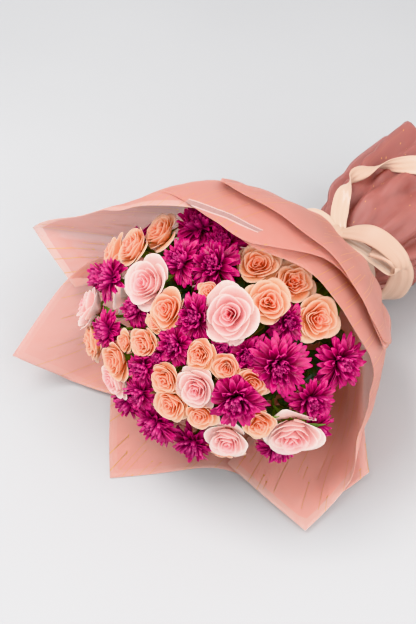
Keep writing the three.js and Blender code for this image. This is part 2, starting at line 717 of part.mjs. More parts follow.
const shortEnd = [
  [[-8, 232, 139], [0.1, 1, 0], 0.5],
  [[-36, 238, 146], [0.2, 1, 0], 0.85],
  [[-66, 242, 130], [0.2, 1, 0], 1],
  [[-88, 246, 100], [0.1, 1, 0], 1],
  [[-98, 250, 64], [0, 1, 0.1], 1],
  [[-104, 254, 28], [0, 1, 0.1], 1],
];

function bowSolid() {
  const heart = new THREE.SphereGeometry(0.5, 8, 4);
  const matrix = new THREE.Matrix4().makeTranslation(...knot.centre).scale(new THREE.Vector3(...knot.size));
  return joined([
    solidOf(heart, matrix),
    ribbonStrip(loopRight, 9),
    ribbonStrip(loopLeft, 9),
    ribbonStrip(longEnd, 10),
    ribbonStrip(shortEnd, 5),
  ]);
}

// ---------------------------------------------------------------- assembly

const bouquet = new THREE.Group();

function addPiece(name, solid, colour, roughness) {
  const material = new THREE.MeshStandardMaterial({ color: colour, roughness, metalness: 0 });
  const mesh = new THREE.Mesh(geometryOf(solid), material);
  mesh.name = name;
  bouquet.add(mesh);
}

for (const node of new Set(placedHeads.map((head) => head.node))) {
  const members = placedHeads.filter((head) => head.node === node);
  const { colour, roughness } = members[0].form;
  addPiece(node, joined(members.map((head) => head.solid)), colour, roughness);
}

const colours = { green: 0x4c6b33, film: 0xdc9a8c, twine: 0xb59a72, satin: 0xe9d8c2 };

for (let sector = 0; sector < stem.sectors; sector++) {
  addPiece(`stems_${sector + 1}`, spraySolid(sector), colours.green, 0.6);
}
for (const sheet of sheets) addPiece(sheet.name, sheetSolid(sheet), colours.film, 0.45);
addPiece("binding_twine", tieRing(tie.inner, tie.outer, tie.width / 2), colours.twine, 0.9);
addPiece("ribbon_band", tieRing(ribbon.inner, ribbon.inner + ribbon.thickness, ribbon.width), colours.satin, 0.3);
addPiece("ribbon_bow", bowSolid(), colours.satin, 0.3);

export default bouquet;
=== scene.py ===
# %% [markdown]
# # A mixed flower bouquet in film
# The bouquet lies on its side: chrysanthemums, garden roses and spray roses on a dome, stems that
# meet in a tie, six sheets of translucent film and a satin ribbon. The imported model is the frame,
# and every piece below is made in its place, in metres, with +Z up and the stems along +Y.

# %% Load the frame
import math
import random

import bpy
import numpy as np
from mathutils import Matrix, Vector


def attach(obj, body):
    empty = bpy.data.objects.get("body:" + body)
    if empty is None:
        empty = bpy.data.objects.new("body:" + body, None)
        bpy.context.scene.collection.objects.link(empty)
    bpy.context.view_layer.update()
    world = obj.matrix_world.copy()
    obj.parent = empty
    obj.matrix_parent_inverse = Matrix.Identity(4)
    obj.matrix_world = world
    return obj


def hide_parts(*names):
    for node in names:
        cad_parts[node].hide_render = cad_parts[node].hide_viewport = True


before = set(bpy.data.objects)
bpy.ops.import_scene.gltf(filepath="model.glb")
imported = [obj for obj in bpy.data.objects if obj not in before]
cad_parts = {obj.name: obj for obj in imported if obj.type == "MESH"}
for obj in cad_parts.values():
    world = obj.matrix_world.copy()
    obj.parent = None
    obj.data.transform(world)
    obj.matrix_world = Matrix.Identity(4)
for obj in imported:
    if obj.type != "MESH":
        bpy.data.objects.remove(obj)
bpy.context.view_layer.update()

print("nodes in the frame:", len(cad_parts))

# %% [markdown]
# ## Camera
# The bouquet is seen from above and from its flower side. The view is kept as a direction, a
# distance and a point to aim at, because the flowers are placed later along the same lines of
# sight. A 60 mm lens on a 36 mm frame gives 1040 pixels of focal length on a 416 x 624 picture.

# %% The view
AZIMUTH = math.radians(42)
ELEVATION = math.radians(47)
DISTANCE = 1.2
AIM = Vector((-0.024, 0.004, 0.159))
FOCAL_PIXELS = 1040
MIDDLE_PIXEL = (208, 312)

to_eye = Vector((
    math.sin(AZIMUTH) * math.cos(ELEVATION),
    -math.cos(AZIMUTH) * math.cos(ELEVATION),
    math.sin(ELEVATION),
))
view_right = Vector((math.cos(AZIMUTH), math.sin(AZIMUTH), 0))
view_up = to_eye.cross(view_right)
eye = AIM + to_eye * DISTANCE

camera_data = bpy.data.cameras.new("camera")
camera_data.lens = 60
camera_data.sensor_width = 36
camera = bpy.data.objects.new("camera", camera_data)
camera.matrix_world = Matrix.Translation(eye) @ Matrix((view_right, view_up, to_eye)).transposed().to_4x4()
bpy.context.scene.collection.objects.link(camera)
bpy.context.scene.camera = camera
# Colours are shown as they are, so that a deep magenta stays deep.
bpy.context.scene.view_settings.view_transform = "Khronos PBR Neutral"
print("camera at", tuple(round(x, 3) for x in eye))

# %% [markdown]
# ## Making thin closed shapes
# Petals, leaves, film and ribbon are all thin sheets. Each one is drawn as a grid of points, and
# one helper gives the grid two faces and a rim. The rim's faces are flat-shaded, so that a thin
# edge stays crisp while both faces stay smooth.

# %% A grid becomes a closed sheet
def closed_sheet(grid, thickness, **values):
    """Grid is (rows, columns, 3). Each extra value is a name and an array over the grid."""
    rows, columns = grid.shape[:2]
    normal = np.cross(np.gradient(grid, axis=1), np.gradient(grid, axis=0))
    normal /= np.maximum(np.linalg.norm(normal, axis=2, keepdims=True), 1e-12)
    shift = normal * thickness / 2
    index = np.arange(rows * columns).reshape(rows, columns)
    square = np.stack([index[:-1, :-1], index[:-1, 1:], index[1:, 1:], index[1:, :-1]], -1).reshape(-1, 4)
    loop = np.concatenate([index[0, :-1], index[:-1, -1], index[-1, :0:-1], index[:0:-1, 0]])
    ahead = np.roll(loop, -1)
    under = rows * columns
    rim = np.stack([loop + under, ahead + under, ahead, loop], -1)
    sheet = {
        "points": np.concatenate([(grid + shift).reshape(-1, 3), (grid - shift).reshape(-1, 3)]),
        "faces": np.concatenate([square, square[:, ::-1] + under, rim]),
        "smooth": np.concatenate([np.ones(2 * len(square), bool), np.zeros(len(rim), bool)]),
        "back": np.concatenate([np.zeros(under), np.ones(under)]),
    }
    for name, value in values.items():
        value = np.broadcast_to(value, grid.shape[:2] + np.shape(value)[2:])
        flat = value.reshape((under,) + value.shape[2:])
        sheet[name] = np.concatenate([flat, flat])
    return sheet


def mesh_of(name, sheets, material=None):
    """One mesh from many closed sheets, with their uv and any other value as an attribute."""
    starts = np.cumsum([0] + [len(sheet["points"]) for sheet in sheets[:-1]])
    points = np.concatenate([sheet["points"] for sheet in sheets])
    faces = np.concatenate([sheet["faces"] + start for sheet, start in zip(sheets, starts)])
    mesh = bpy.data.meshes.new(name)
    mesh.vertices.add(len(points))
    mesh.vertices.foreach_set("co", points.astype(np.float32).ravel())
    mesh.loops.add(faces.size)
    mesh.loops.foreach_set("vertex_index", faces.astype(np.int32).ravel())
    mesh.polygons.add(len(faces))
    mesh.polygons.foreach_set("loop_start", np.arange(0, faces.size, 4, dtype=np.int32))
    mesh.polygons.foreach_set("use_smooth", np.concatenate([sheet["smooth"] for sheet in sheets]))
    mesh.update(calc_edges=True)
    uv = np.concatenate([sheet["uv"] for sheet in sheets])
    mesh.uv_layers.new(name="UVMap").data.foreach_set("uv", uv[faces.ravel()].astype(np.float32).ravel())
    for key in sheets[0]:
        if key in ("points", "faces", "smooth", "uv"):
            continue
        values = np.concatenate([sheet[key] for sheet in sheets]).astype(np.float32)
        mesh.attributes.new(key, "FLOAT", "POINT").data.foreach_set("value", values)
    if material:
        mesh.materials.append(material)
    return mesh


def show(name, mesh):
    piece = bpy.data.objects.new(name, mesh)
    bpy.context.scene.collection.objects.link(piece)
    return piece


def finish_piece(piece, slot, *nodes):
    """The piece rides on the only body and stands for its nodes. Its slot is not used."""
    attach(piece, "root")
    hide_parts(*nodes)
    print(f"{piece.name}: {len(piece.data.polygons)} faces")

# %% [markdown]
# ## Where the heads stand
# The heads stand on a dome, an ellipsoid in front of the stems. Each visible head is placed by
# the pixel of its middle: its line of sight is met with the dome. A level above 1 lifts a head
# that stands proud, and the heads on the hidden side are placed by a direction instead.

# %% The dome and the lines of sight
DOME_CENTRE = Vector((0, 0, 0.147))
DOME_HALF = Vector((0.157, 0.130, 0.122))
FACING_FOCUS = Vector((0, 0.070, 0.118))


def times(a, b):
    return Vector(x * y for x, y in zip(a, b))


def on_dome(pixel, level=1.0):
    """Where the line of sight through a pixel meets the dome, or comes nearest to it."""
    sight = -to_eye
    sight += view_right * (pixel[0] - MIDDLE_PIXEL[0]) / FOCAL_PIXELS
    sight += view_up * (MIDDLE_PIXEL[1] - pixel[1]) / FOCAL_PIXELS
    half = DOME_HALF * level
    shrink = Vector(1 / x for x in half)
    start = times(eye - DOME_CENTRE, shrink)
    step = times(sight, shrink)
    a, b, c = step.dot(step), start.dot(step), start.dot(start) - 1
    reach = max(b * b - a * c, 0)
    unit = (start + step * (-b - math.sqrt(reach)) / a).normalized()
    return times(unit, half) + DOME_CENTRE


def towards(direction, level=1.0):
    """The dome's point in a direction from its centre."""
    return times(Vector(direction).normalized(), DOME_HALF) * level + DOME_CENTRE

# %% The table of heads
# Node, pixel or direction of the middle, width, then level and facing where they matter.
CHRYSANTHEMUMS = [
    ("chrysanthemum_01", (202, 227), 0.072),
    ("chrysanthemum_01", (225, 244), 0.060, 0.96),
    ("chrysanthemum_02", (215, 266), 0.066),
    ("chrysanthemum_03", (182, 262), 0.058),
    ("chrysanthemum_04", (112, 279), 0.056),
    ("chrysanthemum_04", (96, 275), 0.056),
    ("chrysanthemum_05", (109, 331), 0.052),
    ("chrysanthemum_06", (137, 309), 0.046, 0.93),
    ("chrysanthemum_07", (196, 318), 0.060),
    ("chrysanthemum_08", (226, 346), 0.040, 0.94),
    ("chrysanthemum_08", (278, 366), 0.068, 1.03),
    ("chrysanthemum_08", (248, 355), 0.048, 0.95),
    ("chrysanthemum_09", (176, 345), 0.052),
    ("chrysanthemum_09", (160, 356), 0.036, 0.96),
    ("chrysanthemum_09", (144, 367), 0.048),
    ("chrysanthemum_09", (141, 393), 0.048),
    ("chrysanthemum_10", (119, 408), 0.056),
    ("chrysanthemum_11", (157, 421), 0.060),
    ("chrysanthemum_12", (192, 449), 0.058),
    ("chrysanthemum_13", (236, 400), 0.068, 1.04),
    ("chrysanthemum_14", (340, 362), 0.066),
    ("chrysanthemum_15", (311, 400), 0.056),
    ("chrysanthemum_16", (287, 322), 0.048, 0.94),
    ("chrysanthemum_17", (332, 446), 0.054, 1, (0.9, -0.2, -0.1)),
    ("chrysanthemum_18", (280, 450), 0.054),
    ("chrysanthemum_19", (-0.95, 0.16, 0.22), 0.058),
    ("chrysanthemum_20", (-0.72, -0.42, -0.55), 0.060),
    ("chrysanthemum_21", (0.02, -0.78, -0.62), 0.058),
]
GARDEN_ROSES = [
    ("rose_01", (231, 316), 0.066, 1.04),
    ("rose_02", (148, 283), 0.064, 1.03),
    ("rose_03", (83, 306), 0.058, 1.05, (-0.75, -0.5, 0.45)),
    ("rose_04", (197, 389), 0.052),
    ("rose_05", (227, 440), 0.054),
    ("rose_06", (294, 434), 0.070, 1.03, (0.62, -0.78, 0.0)),
    ("rose_07", (115, 379), 0.052, 1.02),
    ("rose_08", (-0.92, -0.1, -0.28), 0.052),
]
SPRAY_ROSES = [
    ("spray_rose_01", (108, 250), 0.052, 1.02),
    ("spray_rose_01", (133, 247), 0.052, 1.02),
    ("spray_rose_02", (160, 233), 0.052),
    ("spray_rose_03", (168, 310), 0.048, 1.02),
    ("spray_rose_03", (156, 323), 0.028),
    ("spray_rose_03", (144, 343), 0.042),
    ("spray_rose_03", (125, 342), 0.026),
    ("spray_rose_04", (86, 342), 0.048, 1.04),
    ("spray_rose_05", (116, 361), 0.048, 1.02),
    ("spray_rose_06", (200, 355), 0.038),
    ("spray_rose_06", (226, 367), 0.036, 0.98),
    ("spray_rose_07", (165, 379), 0.042),
    ("spray_rose_07", (172, 404), 0.046),
    ("spray_rose_07", (201, 414), 0.040),
    ("spray_rose_08", (209, 292), 0.028),
    ("spray_rose_09", (258, 264), 0.050),
    ("spray_rose_10", (268, 302), 0.050),
    ("spray_rose_11", (294, 283), 0.050),
    ("spray_rose_12", (318, 319), 0.052),
    ("spray_rose_13", (253, 382), 0.042, 0.98),
    ("spray_rose_14", (259, 423), 0.042),
    ("spray_rose_15", (-0.4, -0.66, -0.64), 0.046),
    ("spray_rose_16", (0.45, -0.6, -0.66), 0.046),
]


def placed(row):
    """A head's node, middle, facing, radius and the matrix that takes a unit head there."""
    node, place, across, level, faces = row + (1, None)[len(row) - 3:]
    centre = on_dome(place, level) if len(place) == 2 else towards(place, level)
    facing = Vector(faces or centre - FACING_FOCUS).normalized()
    turn = Vector((0, 0, 1)).rotation_difference(facing)
    matrix = Matrix.LocRotScale(centre, turn, Vector((across / 2,) * 3))
    # Between the firm roses the loose chrysanthemums give way.
    push = across / 2 * (0.84 if node.startswith("chrysanthemum") else 1)
    return {
        "node": node, "centre": centre, "facing": facing, "radius": across / 2, "push": push,
        "matrix": matrix,
    }


chrysanthemums = [placed(row) for row in CHRYSANTHEMUMS]
garden_roses = [placed(row) for row in GARDEN_ROSES]
spray_roses = [placed(row) for row in SPRAY_ROSES]
print("heads:", len(chrysanthemums), len(garden_roses), len(spray_roses))

# %% Heads that press on each other
PRESS = 0.0016


def walls_of(head, heads):
    """The planes where a head meets its neighbours: a direction and how far it may reach."""
    walls = []
    for other in heads:
        apart = other["centre"] - head["centre"]
        distance = apart.length
        if other is head or distance > head["radius"] + other["radius"]:
            continue
        reach = distance / 2 + (head["push"] ** 2 - other["push"] ** 2) / (2 * distance)
        walls.append((np.array(apart / distance), reach + 0.0006))
    return walls


def pressed(points, head):
    """Points beyond a neighbour's plane are drawn back to it, and more softly near it."""
    for normal, reach in head["walls"]:
        over = (points - np.array(head["centre"])) @ normal - (reach - PRESS)
        back = np.where(over > 0, over - PRESS * (1 - np.exp(-np.maximum(over, 0) / PRESS)), 0)
        points = points - back[..., None] * normal
    return points


every_head = chrysanthemums + garden_roses + spray_roses
for head in every_head:
    head["walls"] = walls_of(head, every_head)
print("pressed pairs:", sum(len(head["walls"]) for head in every_head) // 2)

# %% [markdown]
# ## Node trees
# Shaders and geometry trees are both built by the same small helpers: one adds a node, sets it
# up and wires it, the others add the sums that come up again and again.

# %% Helpers for node trees
def add(tree, kind, wires=None, **settings):
    """A node with its settings, and its inputs filled with values or wired to other nodes."""
    node = tree.nodes.new(kind)
    for name, value in settings.items():
        setattr(node, name, value)
    for socket, value in (wires or {}).items():
        if isinstance(value, bpy.types.NodeSocket):
            tree.links.new(value, node.inputs[socket])
        else:
            node.inputs[socket].default_value = value
    return node


def maths(tree, operation, *values):
    return add(tree, "ShaderNodeMath", dict(enumerate(values)), operation=operation).outputs[0]


def curve(tree, value, points):
    """A value led through a drawn curve, given as pairs from 0 to 1."""
    node = add(tree, "ShaderNodeFloatCurve", {"Value": value})
    line = node.mapping.curves[0]
    for point in points[1:-1]:
        line.points.new(*point)
    line.points[0].location, line.points[-1].location = points[0], points[-1]
    node.mapping.update()
    return node.outputs[0]


def new_tree(kind, name, inputs, outputs):
    """A node tree with named inputs and outputs, and its two end nodes."""
    tree = bpy.data.node_groups.new(name, kind)
    for label, (socket, value) in inputs.items():
        entry = tree.interface.new_socket(label, in_out="INPUT", socket_type=socket)
        if value is not None:
            entry.default_value = value
    for label, socket in outputs.items():
        tree.interface.new_socket(label, in_out="OUTPUT", socket_type=socket)
    return tree, add(tree, "NodeGroupInput").outputs, add(tree, "NodeGroupOutput").inputs

# %% [markdown]
# ## Finishes
# A petal's colour changes from its root to its rim, from the heart of the head outwards, and
# between its two sides. All three are stored on the mesh when it is made: v of the uv runs to
# the rim, "whorl" from 0 outside to 1 at the heart, and "back" is 1 on the lower side. Fine
# streaks along the petal are one shader group, which every petal and leaf uses.

# %% The streaks group and the colours
def rgb(red, green, blue):
    """A screen colour, 0 to 255, as the linear colour that shaders work in."""
    scale = [c / 255 for c in (red, green, blue)]
    return (*(c / 12.92 if c <= 0.04045 else ((c + 0.055) / 1.055) ** 2.4 for c in scale), 1)


def streaks_group():
    """Veins that run along a petal: noise on a uv that is stretched along v."""
    number = "NodeSocketFloat"
    tree, start, end = new_tree(
        "ShaderNodeTree", "streaks",
        {"Across": (number, 30), "Along": (number, 1.5)}, {"Streaks": number},
    )
    uv = add(tree, "ShaderNodeTexCoord").outputs["UV"]
    stretch = add(tree, "ShaderNodeCombineXYZ", {"X": start["Across"], "Y": start["Along"]}).outputs[0]
    drawn = add(tree, "ShaderNodeVectorMath", {0: uv, 1: stretch}, operation="MULTIPLY").outputs[0]
    noise = add(tree, "ShaderNodeTexNoise", {"Vector": drawn, "Scale": 1, "Detail": 3})
    tree.links.new(noise.outputs["Fac"], end["Streaks"])
    return tree


STREAKS = streaks_group()


def value_of(tree, attribute):
    return add(tree, "ShaderNodeAttribute", attribute_name=attribute).outputs["Fac"]


def blend(tree, factor, first, second, mode="MIX"):
    wires = {"Factor": factor, "A": first, "B": second}
    node = tree.nodes.new("ShaderNodeMix")
    node.data_type, node.blend_type = "RGBA", mode
    for name, value in wires.items():
        socket = next(s for s in node.inputs if s.name == name and s.enabled)
        if isinstance(value, bpy.types.NodeSocket):
            tree.links.new(value, socket)
        else:
            socket.default_value = value
    return next(s for s in node.outputs if s.enabled)


def new_material(name, **values):
    """A material with its Principled BSDF set to plain values."""
    material = bpy.data.materials.new(name)
    material.use_nodes = True
    shader = material.node_tree.nodes["Principled BSDF"]
    for socket, value in values.items():
        shader.inputs[socket.replace("_", " ")].default_value = value
    return material, material.node_tree, shader

# %% Petal finishes
def petal_material(
        name, root, outer, heart, rim, back, rim_start=0.5, rim_fade=0.0, streak=0.5, back_share=0.7,
        glow=0.0, **values):
    """Outer to heart by whorl, then root and rim along the petal, the back, and the streaks."""
    material, tree, shader = new_material(name, **values)
    shader.inputs["Subsurface Radius"].default_value = (1.0, 0.85, 0.8)
    uv = add(tree, "ShaderNodeTexCoord").outputs["UV"]
    along = add(tree, "ShaderNodeSeparateXYZ", {0: uv}).outputs["Y"]
    body = blend(tree, value_of(tree, "whorl"), outer, heart)
    soft = {"interpolation_type": "SMOOTHSTEP"}
    from_root = add(tree, "ShaderNodeMapRange", {"Value": along, "From Max": 0.45}, **soft)
    body = blend(tree, from_root.outputs[0], root, body)
    to_rim = add(tree, "ShaderNodeMapRange", {"Value": along, "From Min": rim_start}, **soft)
    outside = maths(tree, "MULTIPLY_ADD", value_of(tree, "whorl"), -rim_fade, 1)
    body = blend(tree, maths(tree, "MULTIPLY", to_rim.outputs[0], outside), body, rim)
    body = blend(tree, maths(tree, "MULTIPLY", value_of(tree, "back"), back_share), body, back)
    lines = add(tree, "ShaderNodeGroup", node_tree=STREAKS).outputs["Streaks"]
    depth = add(tree, "ShaderNodeMapRange", {
        "Value": lines, "From Min": 0.3, "From Max": 0.7, "To Min": 1 - streak, "To Max": 1 + streak * 0.4,
    }).outputs[0]
    depth = maths(tree, "MULTIPLY", depth, value_of(tree, "shade"))
    grey = add(tree, "ShaderNodeCombineColor", {"Red": depth, "Green": depth, "Blue": depth}).outputs[0]
    colour = blend(tree, 1.0, body, grey, "MULTIPLY")
    tree.links.new(colour, shader.inputs["Base Color"])
    if glow:
        # Light wanders through many pale petals before it comes out, which a faint glow stands for.
        tree.links.new(colour, shader.inputs["Emission Color"])
        shader.inputs["Emission Strength"].default_value = glow
    bump = add(tree, "ShaderNodeBump", {"Strength": 0.35, "Distance": 0.0004, "Height": lines})
    tree.links.new(bump.outputs[0], shader.inputs["Normal"])
    return material


# The dark root and heart of the magenta petals are painted shade, where little light reaches between them;
# the pale rim is partly the petals' own lighter tips and partly painted highlight.
magenta = petal_material(
    "magenta_petals",
    root=rgb(50, 0, 16), outer=rgb(160, 3, 66), heart=rgb(90, 1, 32), rim=rgb(208, 32, 116),
    back=rgb(216, 78, 146), rim_start=0.4, streak=0.4, back_share=0.45,
    Roughness=0.4, Subsurface_Weight=0.12, Subsurface_Scale=0.003,
)
pink = petal_material(
    "pink_rose_petals",
    root=rgb(246, 84, 102), outer=rgb(254, 224, 216), heart=rgb(255, 120, 136), rim=rgb(255, 238, 226),
    back=rgb(253, 222, 210), rim_start=0.75, rim_fade=0.75, streak=0.06, back_share=0.3, glow=0.06,
    Roughness=0.5, Subsurface_Weight=0.45, Subsurface_Scale=0.006, Sheen_Weight=0.05,
)
peach = petal_material(
    "peach_rose_petals",
    root=rgb(232, 42, 6), outer=rgb(255, 188, 142), heart=rgb(254, 88, 26), rim=rgb(255, 214, 182),
    back=rgb(255, 194, 156), rim_start=0.72, rim_fade=0.6, streak=0.10, back_share=0.3, glow=0.04,
    Roughness=0.5, Subsurface_Weight=0.45, Subsurface_Scale=0.005, Sheen_Weight=0.05,
)
print("petal finishes:", magenta.name, pink.name, peach.name)

# %% [markdown]
# ## Growing things on points
# Petals, leaves and sepals repeat, so Geometry Nodes place them. A small host mesh holds a point
# for each head or leaf, with its facing and size as attributes, and a tree sets a template on
# it. The result is turned into a plain mesh, and host and modifier go.

# %% From a host and a tree to a plain mesh
def host_of(points, **attributes):
    """An object with only points, which carry numbers or vectors for a tree to read."""
    mesh = bpy.data.meshes.new("host")
    mesh.from_pydata([tuple(point) for point in points], [], [])
    for name, values in attributes.items():
        flat = np.asarray([tuple(v) if isinstance(v, Vector) else v for v in values], np.float32)
        vector = flat.ndim == 2
        layer = mesh.attributes.new(name, "FLOAT_VECTOR" if vector else "FLOAT", "POINT")
        layer.data.foreach_set("vector" if vector else "value", flat.ravel())
    host = bpy.data.objects.new("host", mesh)
    bpy.context.scene.collection.objects.link(host)
    return host


def grown(host, tree, **inputs):
    """The mesh that a tree makes of its host."""
    modifier = host.modifiers.new(tree.name, "NODES")
    modifier.node_group = tree
    for item in tree.interface.items_tree:
        if item.in_out == "INPUT" and item.name.lower().replace(" ", "_") in inputs:
            modifier[item.identifier] = inputs[item.name.lower().replace(" ", "_")]
    host.update_tag()
    graph = bpy.context.evaluated_depsgraph_get()
    mesh = bpy.data.meshes.new_from_object(
        host.evaluated_get(graph), preserve_all_data_layers=True, depsgraph=graph)
    bpy.data.objects.remove(host)
    return mesh


def read(tree, name, vector=False):
    kind = "FLOAT_VECTOR" if vector else "FLOAT"
    return add(tree, "GeometryNodeInputNamedAttribute", {"Name": name}, data_type=kind).outputs["Attribute"]


def store(tree, geometry, name, value):
    wires = {"Geometry": geometry, "Name": name, "Value": value}
    return add(tree, "GeometryNodeStoreNamedAttribute", wires, data_type="FLOAT", domain="POINT").outputs[0]


def end_tree(tree, geometry, start, end):
    """Every tree ends alike: instances become real geometry, and the material is set."""
    solid = add(tree, "GeometryNodeRealizeInstances", {"Geometry": geometry}).outputs[0]
    wires = {"Geometry": solid, "Material": start["Material"]}
    painted = add(tree, "GeometryNodeSetMaterial", wires).outputs[0]
    tree.links.new(painted, end["Geometry"])
    return tree


def chance(tree, low, high, seed, which):
    """A random number for each point; which keeps two draws with one seed apart."""
    wires = {2: low, 3: high, "Seed": maths(tree, "ADD", seed, which)}
    return add(tree, "FunctionNodeRandomValue", wires, data_type="FLOAT").outputs[1]

# %% [markdown]
# ## Chrysanthemum heads
# A head holds 116 to 144 petals. They follow the golden angle, as the real florets do: the outer
# ones long, broad and lying back, the inner ones short, narrow and curled over the eye. Three
# templates with a few dozen faces each are enough, since turn, tilt, roll, length and width
# vary: an inner petal, and an outer one that sways to the left or to the right.

# %% The three petal templates
def petal_template(name, halves, cup, rise, thickness, columns, sway=0.0):
    """A petal along +X, one unit long. Halves are its half widths from root to tip."""
    rows = len(halves)
    along = np.linspace(0, 1, rows)[:, None]
    across = np.linspace(1, -1, columns)[None, :]
    half = np.asarray(halves)[:, None]
    # The tip is round: its last row is drawn in, and its sides lie a little further back.
    tip = 1 - 0.11 * across ** 2
    x = along * tip + 0 * across
    y = half * across + sway * along ** 2
    z = cup * across ** 2 * np.sin(np.pi * along * 0.85) + rise(along) + 0 * across
    grid = np.stack([x, y, z], -1)
    uv = np.stack([(across + 1) / 2 + 0 * along, along + 0 * across], -1)
    return bpy.data.objects.new(name, mesh_of(name, [closed_sheet(grid, thickness, uv=uv)]))


def outer_rise(s):
    """The long petals arch up from the root, lie back, and lift their tips."""
    return 0.12 * np.sin(np.pi * s) + 0.10 * s ** 3


OUTER_HALVES = (0.04, 0.075, 0.105, 0.122, 0.118, 0.07)
outer_left = petal_template("outer_left", OUTER_HALVES, 0.085, outer_rise, 0.016, 5, sway=0.09)
outer_right = petal_template("outer_right", OUTER_HALVES, 0.085, outer_rise, 0.016, 5, sway=-0.09)
inner_petal = petal_template(
    "inner_petal", (0.05, 0.09, 0.12, 0.12, 0.07), cup=0.09,
    rise=lambda s: 0.5 * s ** 2, thickness=0.02, columns=3)
print("petal templates:", len(outer_left.data.polygons), len(inner_petal.data.polygons))

# %% The tree that sets the petals
GOLDEN_ANGLE = math.pi * (3 - math.sqrt(5))


def chrysanthemum_tree():
    number, count, thing = "NodeSocketFloat", "NodeSocketInt", "NodeSocketObject"
    tree, start, end = new_tree("GeometryNodeTree", "chrysanthemum heads", {
        "Geometry": ("NodeSocketGeometry", None), "Petals": (count, 110), "Spread": (number, 1.75),
        "Left": (thing, None), "Right": (thing, None), "Inner": (thing, None),
        "Material": ("NodeSocketMaterial", None), "Seed": (count, 1),
    }, {"Geometry": "NodeSocketGeometry"})
    petals = add(tree, "GeometryNodeDuplicateElements", {
        "Geometry": start["Geometry"], "Amount": start["Petals"]}, domain="POINT").outputs
    place = petals["Duplicate Index"]
    geometry = store(tree, petals["Geometry"], "whorl", maths(tree, "DIVIDE", place, start["Petals"]))
    geometry = store(tree, geometry, "place", place)
    whorl, reach = read(tree, "whorl"), read(tree, "reach")
    # Little light reaches the heart, so its petals are a shade deeper as well as smaller.
    shade = maths(tree, "MULTIPLY", curve(tree, whorl, [(0, 1), (0.45, 0.96), (0.75, 0.7), (1, 0.5)]),
                  chance(tree, 0.8, 1.16, start["Seed"], 1))
    geometry = store(tree, geometry, "shade", shade)
    head = add(tree, "FunctionNodeAlignRotationToVector", {"Vector": read(tree, "facing", True)}, axis="Z")
    turn = maths(tree, "MULTIPLY_ADD", read(tree, "place"), GOLDEN_ANGLE, read(tree, "turn"))
    turn = maths(tree, "ADD", turn, chance(tree, -0.1, 0.1, start["Seed"], 2))
    tilt = curve(tree, whorl, [(0, 1), (0.25, 0.9), (0.5, 0.68), (1, 0.08)])
    tilt = maths(tree, "MULTIPLY", tilt, start["Spread"])
    tilt = maths(tree, "ADD", tilt, chance(tree, -0.24, 0.20, start["Seed"], 3))
    lean = maths(tree, "SUBTRACT", tilt, math.pi / 2)
    # A petal also rolls a little about its own length, so no two lie alike.
    roll = chance(tree, -0.42, 0.42, start["Seed"], 5)
    rotation = add(tree, "FunctionNodeAxisAngleToRotation", {"Axis": (1, 0, 0), "Angle": roll})
    tilted = add(tree, "FunctionNodeAxisAngleToRotation", {"Axis": (0, 1, 0), "Angle": lean})
    swung = add(tree, "FunctionNodeAxisAngleToRotation", {"Axis": (0, 0, 1), "Angle": turn})
    for turned in (tilted, swung, head):
        rotation = add(tree, "FunctionNodeRotateRotation", {
            "Rotation": rotation.outputs[0], "Rotate By": turned.outputs[0]}, rotation_space="GLOBAL")
    # Each petal's root sits on the receptacle, a low cone: the heart is its top.
    out = maths(tree, "MULTIPLY", maths(tree, "MULTIPLY_ADD", whorl, -0.13, 0.15), reach)
    up = maths(tree, "MULTIPLY", maths(tree, "MULTIPLY_ADD", whorl, 0.24, -0.16), reach)
    seat = add(tree, "ShaderNodeCombineXYZ", {
        "X": maths(tree, "MULTIPLY", maths(tree, "COSINE", turn), out),
        "Y": maths(tree, "MULTIPLY", maths(tree, "SINE", turn), out), "Z": up})
    seat = add(tree, "FunctionNodeRotateVector", {"Vector": seat.outputs[0], "Rotation": head.outputs[0]})
    length = curve(tree, whorl, [(0, 0.93), (0.3, 0.84), (0.6, 0.56), (1, 0.34)])
    length = maths(tree, "MULTIPLY", length, reach)
    length = maths(tree, "MULTIPLY", length, chance(tree, 0.82, 1.08, start["Seed"], 4))
    width = curve(tree, whorl, [(0, 1), (0.3, 0.9), (0.6, 0.72), (1, 0.5)])
    width = maths(tree, "MULTIPLY", width, reach)
    width = maths(tree, "MULTIPLY", width, chance(tree, 0.78, 1.06, start["Seed"], 6))
    scale = add(tree, "ShaderNodeCombineXYZ", {"X": length, "Y": width, "Z": width}).outputs[0]
    # The rotation and the scale are read before the points move to their seats.
    moved = add(tree, "GeometryNodeSetPosition", {"Geometry": geometry, "Offset": seat.outputs[0]})
    is_outer = add(tree, "FunctionNodeCompare", {0: whorl, 1: 0.42}, operation="LESS_THAN").outputs[0]
    is_inner = add(tree, "FunctionNodeBooleanMath", {0: is_outer}, operation="NOT").outputs[0]
    leftwards = add(tree, "FunctionNodeCompare", {0: roll, 1: 0.0}, operation="LESS_THAN").outputs[0]
    both = {0: is_outer, 1: leftwards}
    is_left = add(tree, "FunctionNodeBooleanMath", both, operation="AND").outputs[0]
    is_right = add(tree, "FunctionNodeBooleanMath", both, operation="NIMPLY").outputs[0]
    join = add(tree, "GeometryNodeJoinGeometry")
    for label, chosen in (("Left", is_left), ("Right", is_right), ("Inner", is_inner)):
        template = add(tree, "GeometryNodeObjectInfo", {"Object": start[label]}).outputs["Geometry"]
        set_out = add(tree, "GeometryNodeInstanceOnPoints", {
            "Points": moved.outputs[0], "Selection": chosen, "Instance": template,
            "Rotation": rotation.outputs[0], "Scale": scale})
        tree.links.new(set_out.outputs[0], join.inputs[0])
    return end_tree(tree, join.outputs[0], start, end)


CHRYSANTHEMUM = chrysanthemum_tree()

# %% Grow the chrysanthemums
random.seed(7)


def nodes_of(heads):
    return sorted({head["node"] for head in heads})


